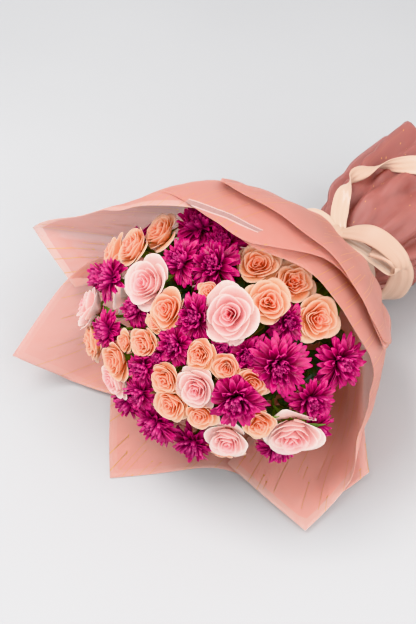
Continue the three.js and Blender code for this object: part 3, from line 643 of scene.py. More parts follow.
for number, node in enumerate(nodes_of(chrysanthemums)):
    members = [head for head in chrysanthemums if head["node"] == node]
    host = host_of(
        [head["centre"] for head in members],
        facing=[head["facing"] for head in members],
        reach=[head["radius"] for head in members],
        turn=[random.uniform(0, 6.28) for _ in members],
    )
    mesh = grown(
        host, CHRYSANTHEMUM, petals=random.choice((116, 130, 144)), spread=random.uniform(1.6, 1.9),
        left=outer_left, right=outer_right, inner=inner_petal, material=magenta, seed=number)
    # Each petal belongs to the nearest of the node's heads, whose neighbours hold it back.
    points = np.empty(len(mesh.vertices) * 3, np.float32)
    mesh.vertices.foreach_get("co", points)
    points = points.reshape(-1, 3).astype(float)
    away = [np.linalg.norm(points - np.array(head["centre"]), axis=1) for head in members]
    nearest = np.argmin(away, axis=0)
    for place, head in enumerate(members):
        points[nearest == place] = pressed(points[nearest == place], head)
    mesh.vertices.foreach_set("co", points.astype(np.float32).ravel())
    mesh.update()
    finish_piece(show(f"{node}_petals", mesh), "magenta_petals", node)

# %% [markdown]
# ## Roses
# A rose is a spiral of petals on one cup: tight and upright at the heart, wide and rolled back
# outside. Every petal is one closed sheet from the same rule, and its place in the spiral sets
# its reach, height, width and curl. Spray roses are the same flower, smaller and more ruffled.

# %% One petal and one rose
def mix(low, high, share):
    return low + (high - low) * share


def rose_petal(place, turn, ruffle, lobes, chance_of):
    """Place runs from 0 at the heart to 1 outside. Measured in the head's radius."""
    v = np.linspace(0, 1, 10)[:, None]
    u = np.linspace(1, -1, 13)[None, :]
    reach = (0.05 + 0.92 * place ** 1.3) * chance_of.uniform(0.92, 1.05)
    top = 0.46 - 0.12 * place - 0.30 * place ** 5 + chance_of.uniform(-0.04, 0.04)
    root = 0.02 + 0.12 * place
    # The rim is round: towards its corners a petal is shorter.
    v_at = v * (1 - 0.30 * np.abs(u) ** 3 - 0.04 * u ** 2)
    swell = mix(2.8, 1.25, place ** 1.4)
    radius = root + (reach - root) * (1 - (1 - v_at) ** swell)
    height = -0.45 + (top + 0.45) * v_at ** 1.15
    roll = np.clip((v_at - 0.6) / 0.4, 0, 1) ** 2 * mix(0.045, 0.15, place) * chance_of.uniform(0.7, 1.3)
    point = 0.05 * place * np.clip(1 - 2.2 * np.abs(u), 0, 1) * v ** 3
    radius = radius + roll + point + 0.05 * place * np.abs(u) ** 3 * v
    height = height - roll * mix(0.35, 0.9, place)
    phase = chance_of.uniform(0, 6.28)
    radius = radius + ruffle * np.sin(chance_of.uniform(3, 6) * u + phase) * v ** 3
    height = height + ruffle * 0.8 * np.cos(chance_of.uniform(3, 5) * u + phase * 2) * v ** 3
    widest = math.radians(mix(100, 54, place ** 0.8))
    half = widest * (0.42 + 0.58 * np.sin(np.clip(v / 0.62, 0, 1) * math.pi / 2))
    angle = turn + u * half
    # The heart is quartered rather than round, and the head as a whole is not a perfect circle.
    radius = radius * (1 + 0.05 * u + lobes[0] * (1 - place) * np.cos(lobes[1] * angle + lobes[2]))
    radius = radius * (1 + 0.04 * np.cos(2 * angle + lobes[2]))
    drift = 0.07 * (1 - place)
    grid = np.stack([
        radius * np.cos(angle) + drift * math.cos(lobes[2]),
        radius * np.sin(angle) + drift * math.sin(lobes[2]),
        height + 0 * u], -1)
    uv = np.stack([(1 - u) / 2 + 0 * v, v + 0 * u], -1)
    return grid, uv


def rose(head, petals, ruffle, openness, lobe, chance_of):
    """All petals of one rose, turned and moved to its place."""
    sheets = []
    matrix = np.array(head["matrix"])
    start = chance_of.uniform(0, 6.28)
    lobes = (lobe, chance_of.choice((3, 4, 5)), chance_of.uniform(0, 6.28))
    for number in range(petals):
        place = (number / (petals - 1)) ** openness
        turn = start + number * GOLDEN_ANGLE + chance_of.uniform(-0.25, 0.25)
        grid, uv = rose_petal(place, turn, ruffle, lobes, chance_of)
        grid = pressed(grid @ matrix[:3, :3].T + matrix[:3, 3], head)
        sheets.append(closed_sheet(
            grid, 0.00022, uv=uv, whorl=np.array([[1 - place]]),
            shade=np.array([[chance_of.uniform(0.93, 1.04)]]),
        ))
    return sheets

# %% Make the roses
draw = random.Random(11)
for node in nodes_of(garden_roses):
    sheets = []
    for head in (head for head in garden_roses if head["node"] == node):
        sheets += rose(head, 20, 0.014, draw.uniform(0.9, 1.1), 0.10, draw)
    finish_piece(show(f"{node}_petals", mesh_of(node, sheets, pink)), "pink_petals", node)
for node in nodes_of(spray_roses):
    sheets = []
    for head in (head for head in spray_roses if head["node"] == node):
        openness = 1.6 if head["radius"] < 0.016 else draw.uniform(0.85, 1.05)
        sheets += rose(head, 21, 0.032, openness, 0.20, draw)
    finish_piece(show(f"{node}_petals", mesh_of(node, sheets, peach)), "peach_petals", node)

# %% [markdown]
# ## Stems and branches
# Eighteen main stems cross the tie and fan out to the dome, and every head has a branch that
# leaves the nearest of them. The routes are plain lines of points with a thickness at each.
# One tree turns them into tubes, so that a calyx is only a branch that widens at its end.

# %% The axis and the main stems
TIE_Y = 0.225
SHOULDER_Y = 0.206
TIE_Z = 0.082
MOUTH_Z = 0.140
STEM_RADIUS = 0.0050
STEM_RINGS = (0.012, 0.022, 0.032)
FORK_Y = (0.012, 0.034, 0.074)
FORK_RADIUS = (0.026, 0.066, 0.096)
CUT_Y = (0.418, 0.408, 0.398)
SECTORS = 6


def around_axis(degrees, y, radius):
    """A point round the bouquet's axis: 0 degrees is +X, 90 is up. Works on arrays too."""
    angle = np.radians(degrees)
    rise = np.clip((SHOULDER_Y - y) / SHOULDER_Y, 0, 1)
    height = TIE_Z + (MOUTH_Z - TIE_Z) * rise
    parts = np.broadcast_arrays(radius * np.cos(angle), y, height + radius * np.sin(angle))
    return np.stack(parts, -1)


def smooth_through(points, steps, corners=()):
    """A smooth line through all points, with this many steps between two. It breaks at corners."""
    points = np.asarray(points, float)
    last = len(points) - 1
    found = []
    for i in range(last):
        a, b = points[i], points[i + 1]
        before = points[i - 1] if i > 0 and i not in corners else 2 * a - b
        after = points[i + 2] if i + 1 < last and i + 1 not in corners else 2 * b - a
        for t in np.arange(steps) / steps:
            found.append(0.5 * (
                2 * a + (b - before) * t + (2 * before - 5 * a + 4 * b - after) * t ** 2
                + (3 * a - before - 3 * b + after) * t ** 3))
    return np.array(found + [points[-1]])


def sector_of(point):
    x, y, z = point
    height = around_axis(0, y, 0)[2]
    return int(math.degrees(math.atan2(z - height, x)) % 360 // (360 / SECTORS))


def main_stem(sector, ring):
    middle = (sector + 0.5) * 360 / SECTORS
    radius = STEM_RINGS[ring]
    return np.array([
        around_axis(middle, CUT_Y[ring], radius * 1.3), around_axis(middle, TIE_Y, radius),
        around_axis(middle, SHOULDER_Y, radius), around_axis(middle, FORK_Y[ring], FORK_RADIUS[ring]),
    ])


def bend(start, leaving, end, arriving, steps=10):
    """A curved route that leaves and arrives in given directions."""
    t = np.linspace(0, 1, steps)[:, None]
    a = start + leaving * np.linalg.norm(end - start) * 0.35
    b = end - arriving * np.linalg.norm(end - start) * 0.3
    return (1 - t) ** 3 * start + 3 * t * (1 - t) ** 2 * a + 3 * t ** 2 * (1 - t) * b + t ** 3 * end

# %% The tree that makes tubes
def tube_tree():
    tree, start, end = new_tree("GeometryNodeTree", "tubes", {
        "Geometry": ("NodeSocketGeometry", None), "Sides": ("NodeSocketInt", 9),
        "Material": ("NodeSocketMaterial", None),
    }, {"Geometry": "NodeSocketGeometry"})
    lines = add(tree, "GeometryNodeMeshToCurve", {"Mesh": start["Geometry"]}).outputs[0]
    section = {"Resolution": start["Sides"], "Radius": 1.0}
    ring = add(tree, "GeometryNodeCurvePrimitiveCircle", section).outputs[0]
    tubes = add(tree, "GeometryNodeCurveToMesh", {
        "Curve": lines, "Profile Curve": ring, "Scale": read(tree, "radius"), "Fill Caps": True}).outputs[0]
    return end_tree(tree, tubes, start, end)


TUBES = tube_tree()


def tubes(routes, **inputs):
    """Tubes along routes, each an array of points and an array of radii."""
    points = np.concatenate([route for route, radii in routes])
    host = host_of(points, radius=np.concatenate([np.broadcast_to(r, len(p)) for p, r in routes]))
    starts = np.cumsum([0] + [len(route) for route, radii in routes])
    edges = [(i, i + 1) for a, b in zip(starts, starts[1:]) for i in range(a, b - 1)]
    host.data.edges.add(len(edges))
    host.data.edges.foreach_set("vertices", np.array(edges, np.int32).ravel())
    host.data.update()
    return grown(host, TUBES, **inputs)

# %% Green finishes
def green_material(name, dark, light, tip, gloss):
    """A stem or a leaf: mottled along its length by position, with veins from the uv."""
    material, tree, shader = new_material(name, Roughness=gloss, Subsurface_Weight=0.05)
    place = add(tree, "ShaderNodeTexCoord").outputs["Object"]
    mottle = add(tree, "ShaderNodeTexNoise", {"Vector": place, "Scale": 60, "Detail": 4}).outputs["Fac"]
    veins = add(tree, "ShaderNodeGroup", {"Across": 16, "Along": 5}, node_tree=STREAKS).outputs["Streaks"]
    tone = add(tree, "ShaderNodeMapRange", {
        "Value": maths(tree, "ADD", mottle, veins), "From Min": 0.8, "From Max": 1.25}).outputs[0]
    colour = blend(tree, tone, dark, light)
    colour = blend(tree, maths(tree, "MULTIPLY", value_of(tree, "back"), 0.5), colour, tip)
    tree.links.new(colour, shader.inputs["Base Color"])
    bump = add(tree, "ShaderNodeBump", {"Strength": 0.4, "Distance": 0.0005, "Height": veins})
    tree.links.new(bump.outputs[0], shader.inputs["Normal"])
    return material


stem_green = green_material("stem_green", rgb(62, 92, 34), rgb(112, 144, 58), rgb(140, 166, 84), 0.5)
leaf_green = green_material("leaf_green", rgb(26, 44, 20), rgb(46, 72, 32), rgb(80, 104, 62), 0.42)

# %% Routes of stems, branches and calyxes
HEADS = [(head, 0.38) for head in chrysanthemums]
HEADS += [(head, 0.62) for head in garden_roses] + [(head, 0.60) for head in spray_roses]


def branch_to(head, depth, root, leaving):
    """A branch that ends in the calyx, and the radii that make the calyx swell."""
    facing = np.array(head["facing"])
    back = np.array(head["centre"]) - facing * head["radius"] * depth
    route = bend(root, leaving, back, facing)
    seat = [back + facing * head["radius"] * share for share in (0.06, 0.14, 0.2)]
    radii = np.concatenate([np.linspace(0.0022, 0.0018, len(route) - 1), [0.0036, 0.0056, 0.0060, 0.0030]])
    return np.concatenate([route, seat]), radii


def sector_routes(sector):
    mains = [main_stem(sector, ring) for ring in range(3)]
    routes = [(smooth_through(main, 8), STEM_RADIUS) for main in mains]
    taken = [0, 0, 0]
    for head, depth in HEADS:
        back = np.array(head["centre"] - head["facing"] * head["radius"] * depth)
        if sector_of(back) != sector:
            continue
        nearest = min(range(3), key=lambda i: np.linalg.norm(mains[i][3] - back))
        leaving = mains[nearest][3] - mains[nearest][2]
        leaving /= np.linalg.norm(leaving)
        root = mains[nearest][3] - leaving * (0.005 + 0.011 * taken[nearest])
        taken[nearest] += 1
        routes.append(branch_to(head, depth, root, leaving))
    return routes


for sector in range(SECTORS):
    mesh = tubes(sector_routes(sector), material=stem_green)
    finish_piece(show(f"stems_{sector + 1}_stalks", mesh), "green_stems", f"stems_{sector + 1}")

# %% [markdown]
# ## Leaves and sepals
# Dark leaves fill the gaps between the heads: a few are listed, and many small ones lie
# deeper. Five sepals sit under every rose. Both are blades: an outline on a grid, folded along
# the midrib and bent back at the tip. One tree sets a blade on each host point, along one vector
# and facing another.

# %% The blades
def blade(name, halves, columns, fold, droop, thickness):
    """A blade along +X with its upper face towards +Z, one unit long."""
    rows = len(halves)
    along = np.linspace(0, 1, rows)[:, None]
    across = np.linspace(1, -1, columns)[None, :]
    half = np.asarray(halves)[:, None]
    x = along - 0.06 * np.abs(across) * np.sin(math.pi * along)
    y = across * half
    z = fold * np.abs(across) * half * 2 - droop * along ** 2 + 0 * across
    z = z + 0.012 * np.sin(along * 26) * across ** 2
    grid = np.stack([x, y, z], -1)
    uv = np.stack([(across + 1) / 2 + 0 * along, along + 0 * across], -1)
    return bpy.data.objects.new(name, mesh_of(name, [closed_sheet(grid, thickness, uv=uv)]))


leaf_blade = blade(
    "leaf_blade", (0.02, 0.13, 0.20, 0.21, 0.26, 0.25, 0.29, 0.26, 0.27, 0.22, 0.22, 0.15, 0.13, 0.06, 0.015),
    columns=5, fold=0.5, droop=0.22, thickness=0.008)
sepal_blade = blade(
    "sepal_blade", (0.12, 0.17, 0.19, 0.17, 0.12, 0.06, 0.015),
    columns=4, fold=0.3, droop=0.30, thickness=0.02)


def blades_tree():
    tree, start, end = new_tree("GeometryNodeTree", "blades", {
        "Geometry": ("NodeSocketGeometry", None), "Blade": ("NodeSocketObject", None),
        "Material": ("NodeSocketMaterial", None),
    }, {"Geometry": "NodeSocketGeometry"})
    rotation = add(tree, "FunctionNodeAxesToRotation", {
        "Primary Axis": read(tree, "along", True), "Secondary Axis": read(tree, "facing", True),
    }, primary_axis="X", secondary_axis="Z").outputs[0]
    template = add(tree, "GeometryNodeObjectInfo", {"Object": start["Blade"]}).outputs["Geometry"]
    points = add(tree, "GeometryNodeMeshToPoints", {"Mesh": start["Geometry"]}).outputs[0]
    set_out = add(tree, "GeometryNodeInstanceOnPoints", {
        "Points": points, "Instance": template, "Rotation": rotation, "Scale": read(tree, "reach"),
    }).outputs[0]
    return end_tree(tree, set_out, start, end)


BLADES = blades_tree()


def blades(places, **inputs):
    """Blades at places, each a point, a direction along, a facing and a length."""
    points, along, facing, reach = zip(*places)
    host = host_of(points, along=along, facing=facing, reach=reach)
    return grown(host, BLADES, **inputs)

# %% Leaves between the heads
LEAF_LEVEL = 0.79
LEAF_LENGTH = 0.046
SMALL_LEAVES = 90
LEAVES = [
    ((246, 283), (0.3, 0.4, 0.6)), ((306, 350), (0.9, -0.1, -0.3)), ((318, 336), (0.8, 0.6, -0.2)),
    ((318, 386), (0.6, 0.2, -0.8)), ((230, 386), (0.6, -0.3, -0.6)), ((96, 326), (-0.5, -0.5, -0.3)),
    ((190, 290), (-0.6, -0.2, 0.4)), ((-0.8, 0.3, -0.5), (-0.2, 0.7, -0.3)),
    ((-0.7, 0.5, 0.4), (-0.3, 0.6, 0.2)), ((0.6, 0.45, -0.55), (0.5, 0.7, -0.1)),
]


def leaf_at(base, towards_tip, length):
    outwards = (base - FACING_FOCUS).normalized()
    tip = Vector(towards_tip)
    tip = (tip - outwards * tip.dot(outwards)).normalized()
    return base, tip, outwards, length


leaves = []
for place, tip in LEAVES:
    base = on_dome(place, LEAF_LEVEL) if len(place) == 2 else towards(place, LEAF_LEVEL)
    leaves.append(leaf_at(base, tip, LEAF_LENGTH))
draw = random.Random(23)
for number in range(SMALL_LEAVES):
    # A golden spiral spreads the small leaves evenly over the front and sides of the dome.
    height = 1 - 1.5 * (number + 0.5) / SMALL_LEAVES
    ring = math.sqrt(1 - height ** 2)
    turn = number * GOLDEN_ANGLE
    direction = (ring * math.cos(turn), -height, ring * math.sin(turn))
    base = towards(direction, draw.uniform(0.62, 0.76))
    tip = [draw.uniform(-1, 1) for _ in range(3)]
    leaves.append(leaf_at(base, tip, draw.uniform(0.026, 0.042)))
piece = show("leaves", blades(leaves, blade=leaf_blade, material=leaf_green))
finish_piece(piece, "green_stems", *(f"stems_{sector + 1}" for sector in range(SECTORS)))

# %% Sepals under the roses
sepals = []
for head in garden_roses + spray_roses:
    facing = head["facing"]
    side = facing.orthogonal().normalized()
    seat = head["centre"] - facing * head["radius"] * 0.47
    start = draw.uniform(0, 6.28)
    for number in range(5):
        out = Matrix.Rotation(start + number * math.tau / 5, 3, facing) @ side
        along = (out * 0.9 + facing * draw.uniform(-0.25, 0.3)).normalized()
        sepals.append((seat + out * 0.002, along, facing, head["radius"] * draw.uniform(0.75, 0.95)))
piece = show("sepals", blades(sepals, blade=sepal_blade, material=stem_green))
finish_piece(piece, "green_stems", *(f"stems_{sector + 1}" for sector in range(SECTORS)))

# %% [markdown]
# ## The film
# Six sheets of thin film wrap the flowers in layers. Each is gathered at the tie, so it is drawn
# round the bouquet's axis: for every column an angle, and for every row a distance along Y and
# a radius. Pleats are shared by all layers, so that sheets lie in each other's folds and don't
# cross, and they die out where the film opens. Where a sheet meets the table, it lies on it.
# For the finish, each point carries its distance from the cut edges, how plain its sheet's hem
# is, and how open the sheet lies to the light.

# %% The shell that the sheets follow
FILM_TIE_RADIUS = 0.042
FILM_MOUTH_RADIUS = 0.182
FILM_MOUTH_SWELL = 2.5
FILM_HEEL_Y = 0.244
FILM_END_Y = 0.438
FILM_END_RADIUS = 0.086
FILM_END_SWELL = 2.6
FILM_END_FOLD = 0.006
FILM_END_FOLDS = 6
FILM_PITCH = 0.002
FILM_MOUTH_PITCH = 0.0032
FILM_TABLE_LAYER = 1
FILM_TABLE_PITCH = 0.005
FILM_FREE_Y = 0.128
FILM_THICKNESS = 0.0003
FILM_MIDDLE = 0.0006
FILM_CRUMPLE_Y = 0.247
COLUMN_STEP = 15


def smoothstep(value, low, high):
    t = np.clip((value - low) / (high - low), 0, 1)
    return t * t * (3 - 2 * t)


def shell_radius(y, layer):
    """The radius of a layer round the axis, opening from the tie to both ends."""
    mouth = 1 - (1 - np.clip((SHOULDER_Y - y) / SHOULDER_Y, 0, 1)) ** FILM_MOUTH_SWELL
    end = 1 - (1 - np.clip((y - FILM_HEEL_Y) / (FILM_END_Y - FILM_HEEL_Y), 0, 1)) ** FILM_END_SWELL
    radius = mix(FILM_TIE_RADIUS, FILM_MOUTH_RADIUS, mouth) + (FILM_END_RADIUS - FILM_TIE_RADIUS) * end
    return radius + layer * mix(FILM_PITCH, FILM_MOUTH_PITCH, mouth)


def folds(degrees, y):
    """How far the film stands off its shell: all its folds, pleats and creases together."""
    turn = np.radians(degrees)
    end = FILM_END_FOLD * smoothstep(y, FILM_HEEL_Y, FILM_END_Y) * np.cos(FILM_END_FOLDS * turn)
    crest = np.abs(np.sin(5.5 * turn + 0.6 * np.sin(2 * turn + 1))) - 0.5
    fine = np.abs(np.sin(9.5 * turn + 1.3 + 0.8 * np.sin(3 * turn))) - 0.5
    mouth_side = smoothstep(y, 0.02, 0.15) * (1 - smoothstep(y, 0.17, SHOULDER_Y))
    end_side = smoothstep(y, FILM_HEEL_Y, 0.30)
    depth = 0.007 * mouth_side + 0.013 * end_side
    # Around the mouth the film lies in flat facets with a soft crease between two.
    facet = (turn * 11 / math.tau + 0.37) % 1 - 0.5
    crease = 0.007 * smoothstep(0.206 - y, 0.03, 0.15) * (np.abs(facet) ** 1.3 - 0.25)
    # Crisp rays fan out from the gather over the collars, and the gather's far side is crumpled.
    ray = np.abs((turn * 23 / math.tau + 0.35 * np.sin(2 * turn + 14 * y)) % 1 - 0.5) - 0.25
    rays = 0.0075 * ray * smoothstep(y, 0.01, 0.10) * (1 - smoothstep(y, 0.17, SHOULDER_Y))
    broad = np.abs(np.sin(6.5 * turn + 26 * y + 1.3 * np.sin(3 * turn + 22 * y))) - 0.6
    small = np.abs(np.sin(4.5 * turn - 48 * y + 1.6 * np.sin(2 * turn + 17 * y))) - 0.6
    crumple = (0.007 * broad + 0.005 * small) * smoothstep(y, FILM_CRUMPLE_Y, 0.30)
    crumple = crumple * (1 - 0.7 * smoothstep(y, 0.31, 0.41))
    # In front of the ribbon the spare film bunches up before it dives under it.
    bunch = 0.015 * smoothstep(y, 0.125, 0.182) * (1 - smoothstep(y, 0.190, 0.209))
    bunch = bunch * smoothstep(np.cos(turn - math.radians(60)), -0.3, 0.5)
    return end + crest * depth + fine * depth * 0.5 + crease + rays + crumple + bunch


def on_table(points, layer):
    """Sheets that reach the table lie on it, one above the other, and bend into it softly."""
    bed = (FILM_TABLE_LAYER - layer) * FILM_TABLE_PITCH + FILM_MIDDLE
    height = points[..., 2] - bed
    points[..., 2] = bed + (height + np.sqrt(height ** 2 + 0.003 ** 2)) / 2 * (height > -0.05)
    return points


def rim_distance(points):
    """How far each point is from the sheet's cut edges: both sides and the front."""
    line = np.concatenate([points[:, 0], points[-1], points[::-1, -1]])
    line = np.concatenate([mix(line[:-1], line[1:], share) for share in (0, 0.25, 0.5, 0.75)])
    found = [np.linalg.norm(row[:, None] - line[None], axis=2).min(axis=1) for row in points]
    return np.array(found)


def film_sheet(layer, first_column, edge, corners=()):
    """A grid over the sheet, its uv in metres from the front edge, and its rim's distance."""
    fine = 5
    edge = smooth_through(edge, fine, corners)
    degrees = first_column + np.arange(len(edge)) * COLUMN_STEP / fine
    edge_degrees, edge_y, edge_radius = (edge * (1, 0.001, 0.001)).T
    shared = np.linspace(FILM_END_Y, FILM_FREE_Y, 84)[:-1, None]
    shares = np.linspace(0, 1, 34)[:, None]
    free = mix(FILM_FREE_Y, edge_y, shares)
    spread = (edge_radius - shell_radius(edge_y, layer)) * shares ** 2
    y = np.concatenate([shared + 0 * degrees, free])
    turned = np.concatenate([0 * shared + degrees, mix(degrees, edge_degrees, shares ** 2)])
    radius = shell_radius(y, layer) + np.concatenate([0 * shared + 0 * degrees, spread])
    radius = radius + folds(turned, y) + FILM_MIDDLE
    points = on_table(around_axis(turned, y, radius), layer)
    along = np.linalg.norm(np.diff(points, axis=0), axis=2)
    from_edge = np.concatenate([np.cumsum(along[::-1], axis=0)[::-1], np.zeros((1, len(degrees)))])
    across = np.radians(degrees) * FILM_MOUTH_RADIUS
    uv = np.stack([0 * y + across, from_edge], -1)
    return points, uv, rim_distance(points)

# %% [markdown]
# ## The film's finish
# The film is blush pink and lets light through, so alpha is well below one: where two sheets
# overlap the colour deepens. It is printed with thin gold lines that run away from the rim and
# end in dots. The lines are one shader group: white noise gives each cell of the uv its line.

# %% The gold lines and the film
def gold_lines_group():
    """1 on a printed line or dot. Each column of the uv has lines of its own length."""
    number = "NodeSocketFloat"
    tree, start, end = new_tree("ShaderNodeTree", "gold lines", {
        "Spacing": (number, 0.0090), "Repeat": (number, 0.15), "Width": (number, 0.00030),
        "Dot": (number, 0.0011),
    }, {"Mask": number, "Dots": number})
    uv = add(tree, "ShaderNodeSeparateXYZ", {0: add(tree, "ShaderNodeTexCoord").outputs["UV"]}).outputs

    def noise(value, offset):
        wires = {"W": maths(tree, "ADD", value, offset)}
        return add(tree, "ShaderNodeTexWhiteNoise", wires, noise_dimensions="1D").outputs["Value"]

    column = maths(tree, "DIVIDE", uv["X"], start["Spacing"])
    cell = maths(tree, "FLOOR", column)
    across = maths(tree, "SUBTRACT", maths(tree, "FRACT", column), 0.5)
    across = maths(tree, "MULTIPLY", across, start["Spacing"])
    shift = maths(tree, "MULTIPLY", maths(tree, "SUBTRACT", noise(cell, 3.3), 0.5), start["Spacing"])
    across = maths(tree, "ABSOLUTE", maths(tree, "MULTIPLY_ADD", shift, 0.6, across))
    row = maths(tree, "ADD", maths(tree, "DIVIDE", uv["Y"], start["Repeat"]), noise(cell, 7.7))
    which = maths(tree, "MULTIPLY_ADD", maths(tree, "FLOOR", row), 17.17, cell)
    reach = maths(tree, "MULTIPLY_ADD", noise(which, 1.1), 0.9, 0.0)
    along = maths(tree, "SUBTRACT", maths(tree, "FRACT", row), reach)
    along = maths(tree, "MULTIPLY", along, start["Repeat"])
    line = maths(tree, "LESS_THAN", across, start["Width"])
    line = maths(tree, "MULTIPLY", line, maths(tree, "LESS_THAN", along, 0))
    radius = maths(tree, "SQRT", maths(
        tree, "ADD", maths(tree, "MULTIPLY", across, across), maths(tree, "MULTIPLY", along, along)))
    dot = maths(tree, "LESS_THAN", radius, start["Dot"])
    tree.links.new(maths(tree, "MAXIMUM", line, dot), end["Mask"])
    tree.links.new(dot, end["Dots"])
    return tree


GOLD_LINES = gold_lines_group()


HEM = 0.0095
STRIP_FROM = (0.3335, 0.001)
STRIP_TO = (0.2446, 0.024)
STRIP_WIDTH = 0.0100


def film_material(name, strip=False):
    material, tree, shader = new_material(
        name, Roughness=0.42, Specular_IOR_Level=0.35, Subsurface_Weight=0.5, Subsurface_Scale=0.003)
    shader.inputs["Subsurface Radius"].default_value = (1.0, 0.85, 0.8)
    place = add(tree, "ShaderNodeTexCoord").outputs["Object"]
    cloud = add(tree, "ShaderNodeTexNoise", {"Vector": place, "Scale": 7, "Detail": 3}).outputs["Fac"]
    grain = add(tree, "ShaderNodeTexNoise", {"Vector": place, "Scale": 900, "Detail": 2}).outputs["Fac"]
    uv = add(tree, "ShaderNodeSeparateXYZ", {0: add(tree, "ShaderNodeTexCoord").outputs["UV"]}).outputs
    colour = blend(tree, cloud, rgb(216, 144, 130), rgb(226, 157, 143))
    # Where a single layer lies open to the light, it is paler.
    colour = blend(tree, value_of(tree, "open"), colour, rgb(255, 180, 165))
    # Behind the tie more layers lie on each other and the gather shades them, so the colour is deeper there:
    # partly the extra layers, partly painted shade.
    back = add(tree, "ShaderNodeSeparateXYZ", {0: place}).outputs["Y"]
    end = add(tree, "ShaderNodeMapRange", {"Value": back, "From Min": 0.20, "From Max": 0.26})
    layered_and_shaded = blend(tree, cloud, rgb(158, 94, 87), rgb(176, 110, 102))
    colour = blend(tree, end.outputs[0], colour, layered_and_shaded)
    # The hem is turned in, so what lies behind it is a second layer: it is paler than the rest.
    inside = add(tree, "ShaderNodeMapRange", {
        "Value": value_of(tree, "rim"), "From Min": HEM - 0.0003, "From Max": HEM + 0.0003}).outputs[0]
    hem = maths(tree, "MULTIPLY", maths(tree, "SUBTRACT", 1, inside), value_of(tree, "hem"))
    colour = blend(tree, hem, colour, rgb(242, 190, 176))
    gold = add(tree, "ShaderNodeGroup", node_tree=GOLD_LINES).outputs
    # Few lines reach the tail, but its dots are as many as elsewhere.
    printed = maths(tree, "MULTIPLY", gold["Mask"], maths(tree, "MULTIPLY_ADD", end.outputs[0], -0.85, 1))
    printed = maths(tree, "MAXIMUM", printed, gold["Dots"])
    colour = blend(tree, printed, colour, rgb(206, 150, 92))
    alpha = maths(tree, "MULTIPLY_ADD", hem, -0.05, 0.53)
    alpha = maths(tree, "MULTIPLY_ADD", end.outputs[0], 0.2, alpha)
    alpha = maths(tree, "MULTIPLY_ADD", printed, 0.25, alpha)
    if strip:
        # A plain strip, greyer than the film and with paler edges, runs straight over the sheet.
        slope = (STRIP_TO[1] - STRIP_FROM[1]) / (STRIP_TO[0] - STRIP_FROM[0])
        line = maths(tree, "MULTIPLY_ADD", uv["X"], slope, STRIP_FROM[1] - slope * STRIP_FROM[0])
        off = maths(tree, "ABSOLUTE", maths(tree, "SUBTRACT", uv["Y"], line))
        on = maths(tree, "LESS_THAN", off, STRIP_WIDTH / 2)
        for limit, side in ((STRIP_TO[0], "GREATER_THAN"), (STRIP_FROM[0], "LESS_THAN")):
            on = maths(tree, "MULTIPLY", on, maths(tree, side, uv["X"], limit))
        edge = maths(tree, "GREATER_THAN", off, STRIP_WIDTH * 0.36)
        colour = blend(tree, on, colour, blend(tree, edge, rgb(150, 118, 112), rgb(206, 182, 176)))
        alpha = maths(tree, "MAXIMUM", alpha, on)
    tree.links.new(colour, shader.inputs["Base Color"])
    tree.links.new(maths(tree, "MULTIPLY", printed, 0.5), shader.inputs["Metallic"])
    tree.links.new(alpha, shader.inputs["Alpha"])
    bump = add(tree, "ShaderNodeBump", {"Strength": 0.15, "Distance": 0.0002, "Height": grain})
    tree.links.new(bump.outputs[0], shader.inputs["Normal"])
    return material


film = film_material("blush_film")
film_with_strip = film_material("blush_film_with_strip", strip=True)

# %% The six sheets
# For each 15 degree column: the angle, the distance along Y and the radius of the front edge,
# in degrees and millimetres. Corners are the columns where the edge turns sharply.
FILM_SHEETS = {
    "film_front_inner": (0, -75, [
        (-70, -58, 184), (-50, -64, 196), (-36.4, -68, 235), (-31, 8, 226), (-18, 36, 186),
        (1, 44, 180), (15, 53, 178), (30, 42, 180), (45, 34, 181), (60, 23, 182), (75, -8, 182),
        (90, -4, 181), (105, 6, 175), (120, 16, 174)], (2,)),
    "film_left_upper": (1, 90, [
        (92, 2, 182), (105, -9, 182), (120, -26, 184), (136, -22, 185), (151, -10, 197),
        (168, -8, 238), (183.5, -10, 318), (189, -40, 210)], (6,)),
    "film_front_middle": (2, 15, [
        (20, 76, 179), (30, 68, 184), (45, 65, 186), (60, 48, 190), (75, -11, 191),
        (90, -16, 188.5), (105, -5, 186), (119, 4, 184.5), (134, 4, 184.5)], ()),
    "film_front_outer": (3, 15, [
        (24, 76, 181), (32, 68, 186), (45, 60, 191), (60, 58, 194), (75, 46, 197),
        (90, 36, 198), (104, 50, 194), (119, 96, 170.5), (134, 104, 168), (148, 106, 167)], ()),
    "film_left_lower": (0, 180, [
        (184, -16, 214), (191, -56, 232), (200.2, -144, 231), (217, -100, 214), (229, -85, 208),
        (250, -60, 200), (268, -50, 200)], (2,)),
    "film_under": (1, 210, [
        (212, -20, 224), (226, -50, 222), (236, -76, 212), (262, -164, 210), (272, -123, 205),
        (285, -70, 205), (299, -50, 226), (314, -30, 240), (330, 40, 230)], (3,)),
}
# How plain the turned-in hem is, and how open a sheet lies to the light, from 0 to 1.
FILM_HEMS = {"film_front_inner": 0.9, "film_left_upper": 1.0, "film_left_lower": 0.25, "film_under": 0.3}
FILM_LIGHTS = {"film_front_inner": 0.75, "film_left_lower": 0.45, "film_under": 0.5}


def half_area(piece):
    return sum(polygon.area for polygon in piece.data.polygons) / 2


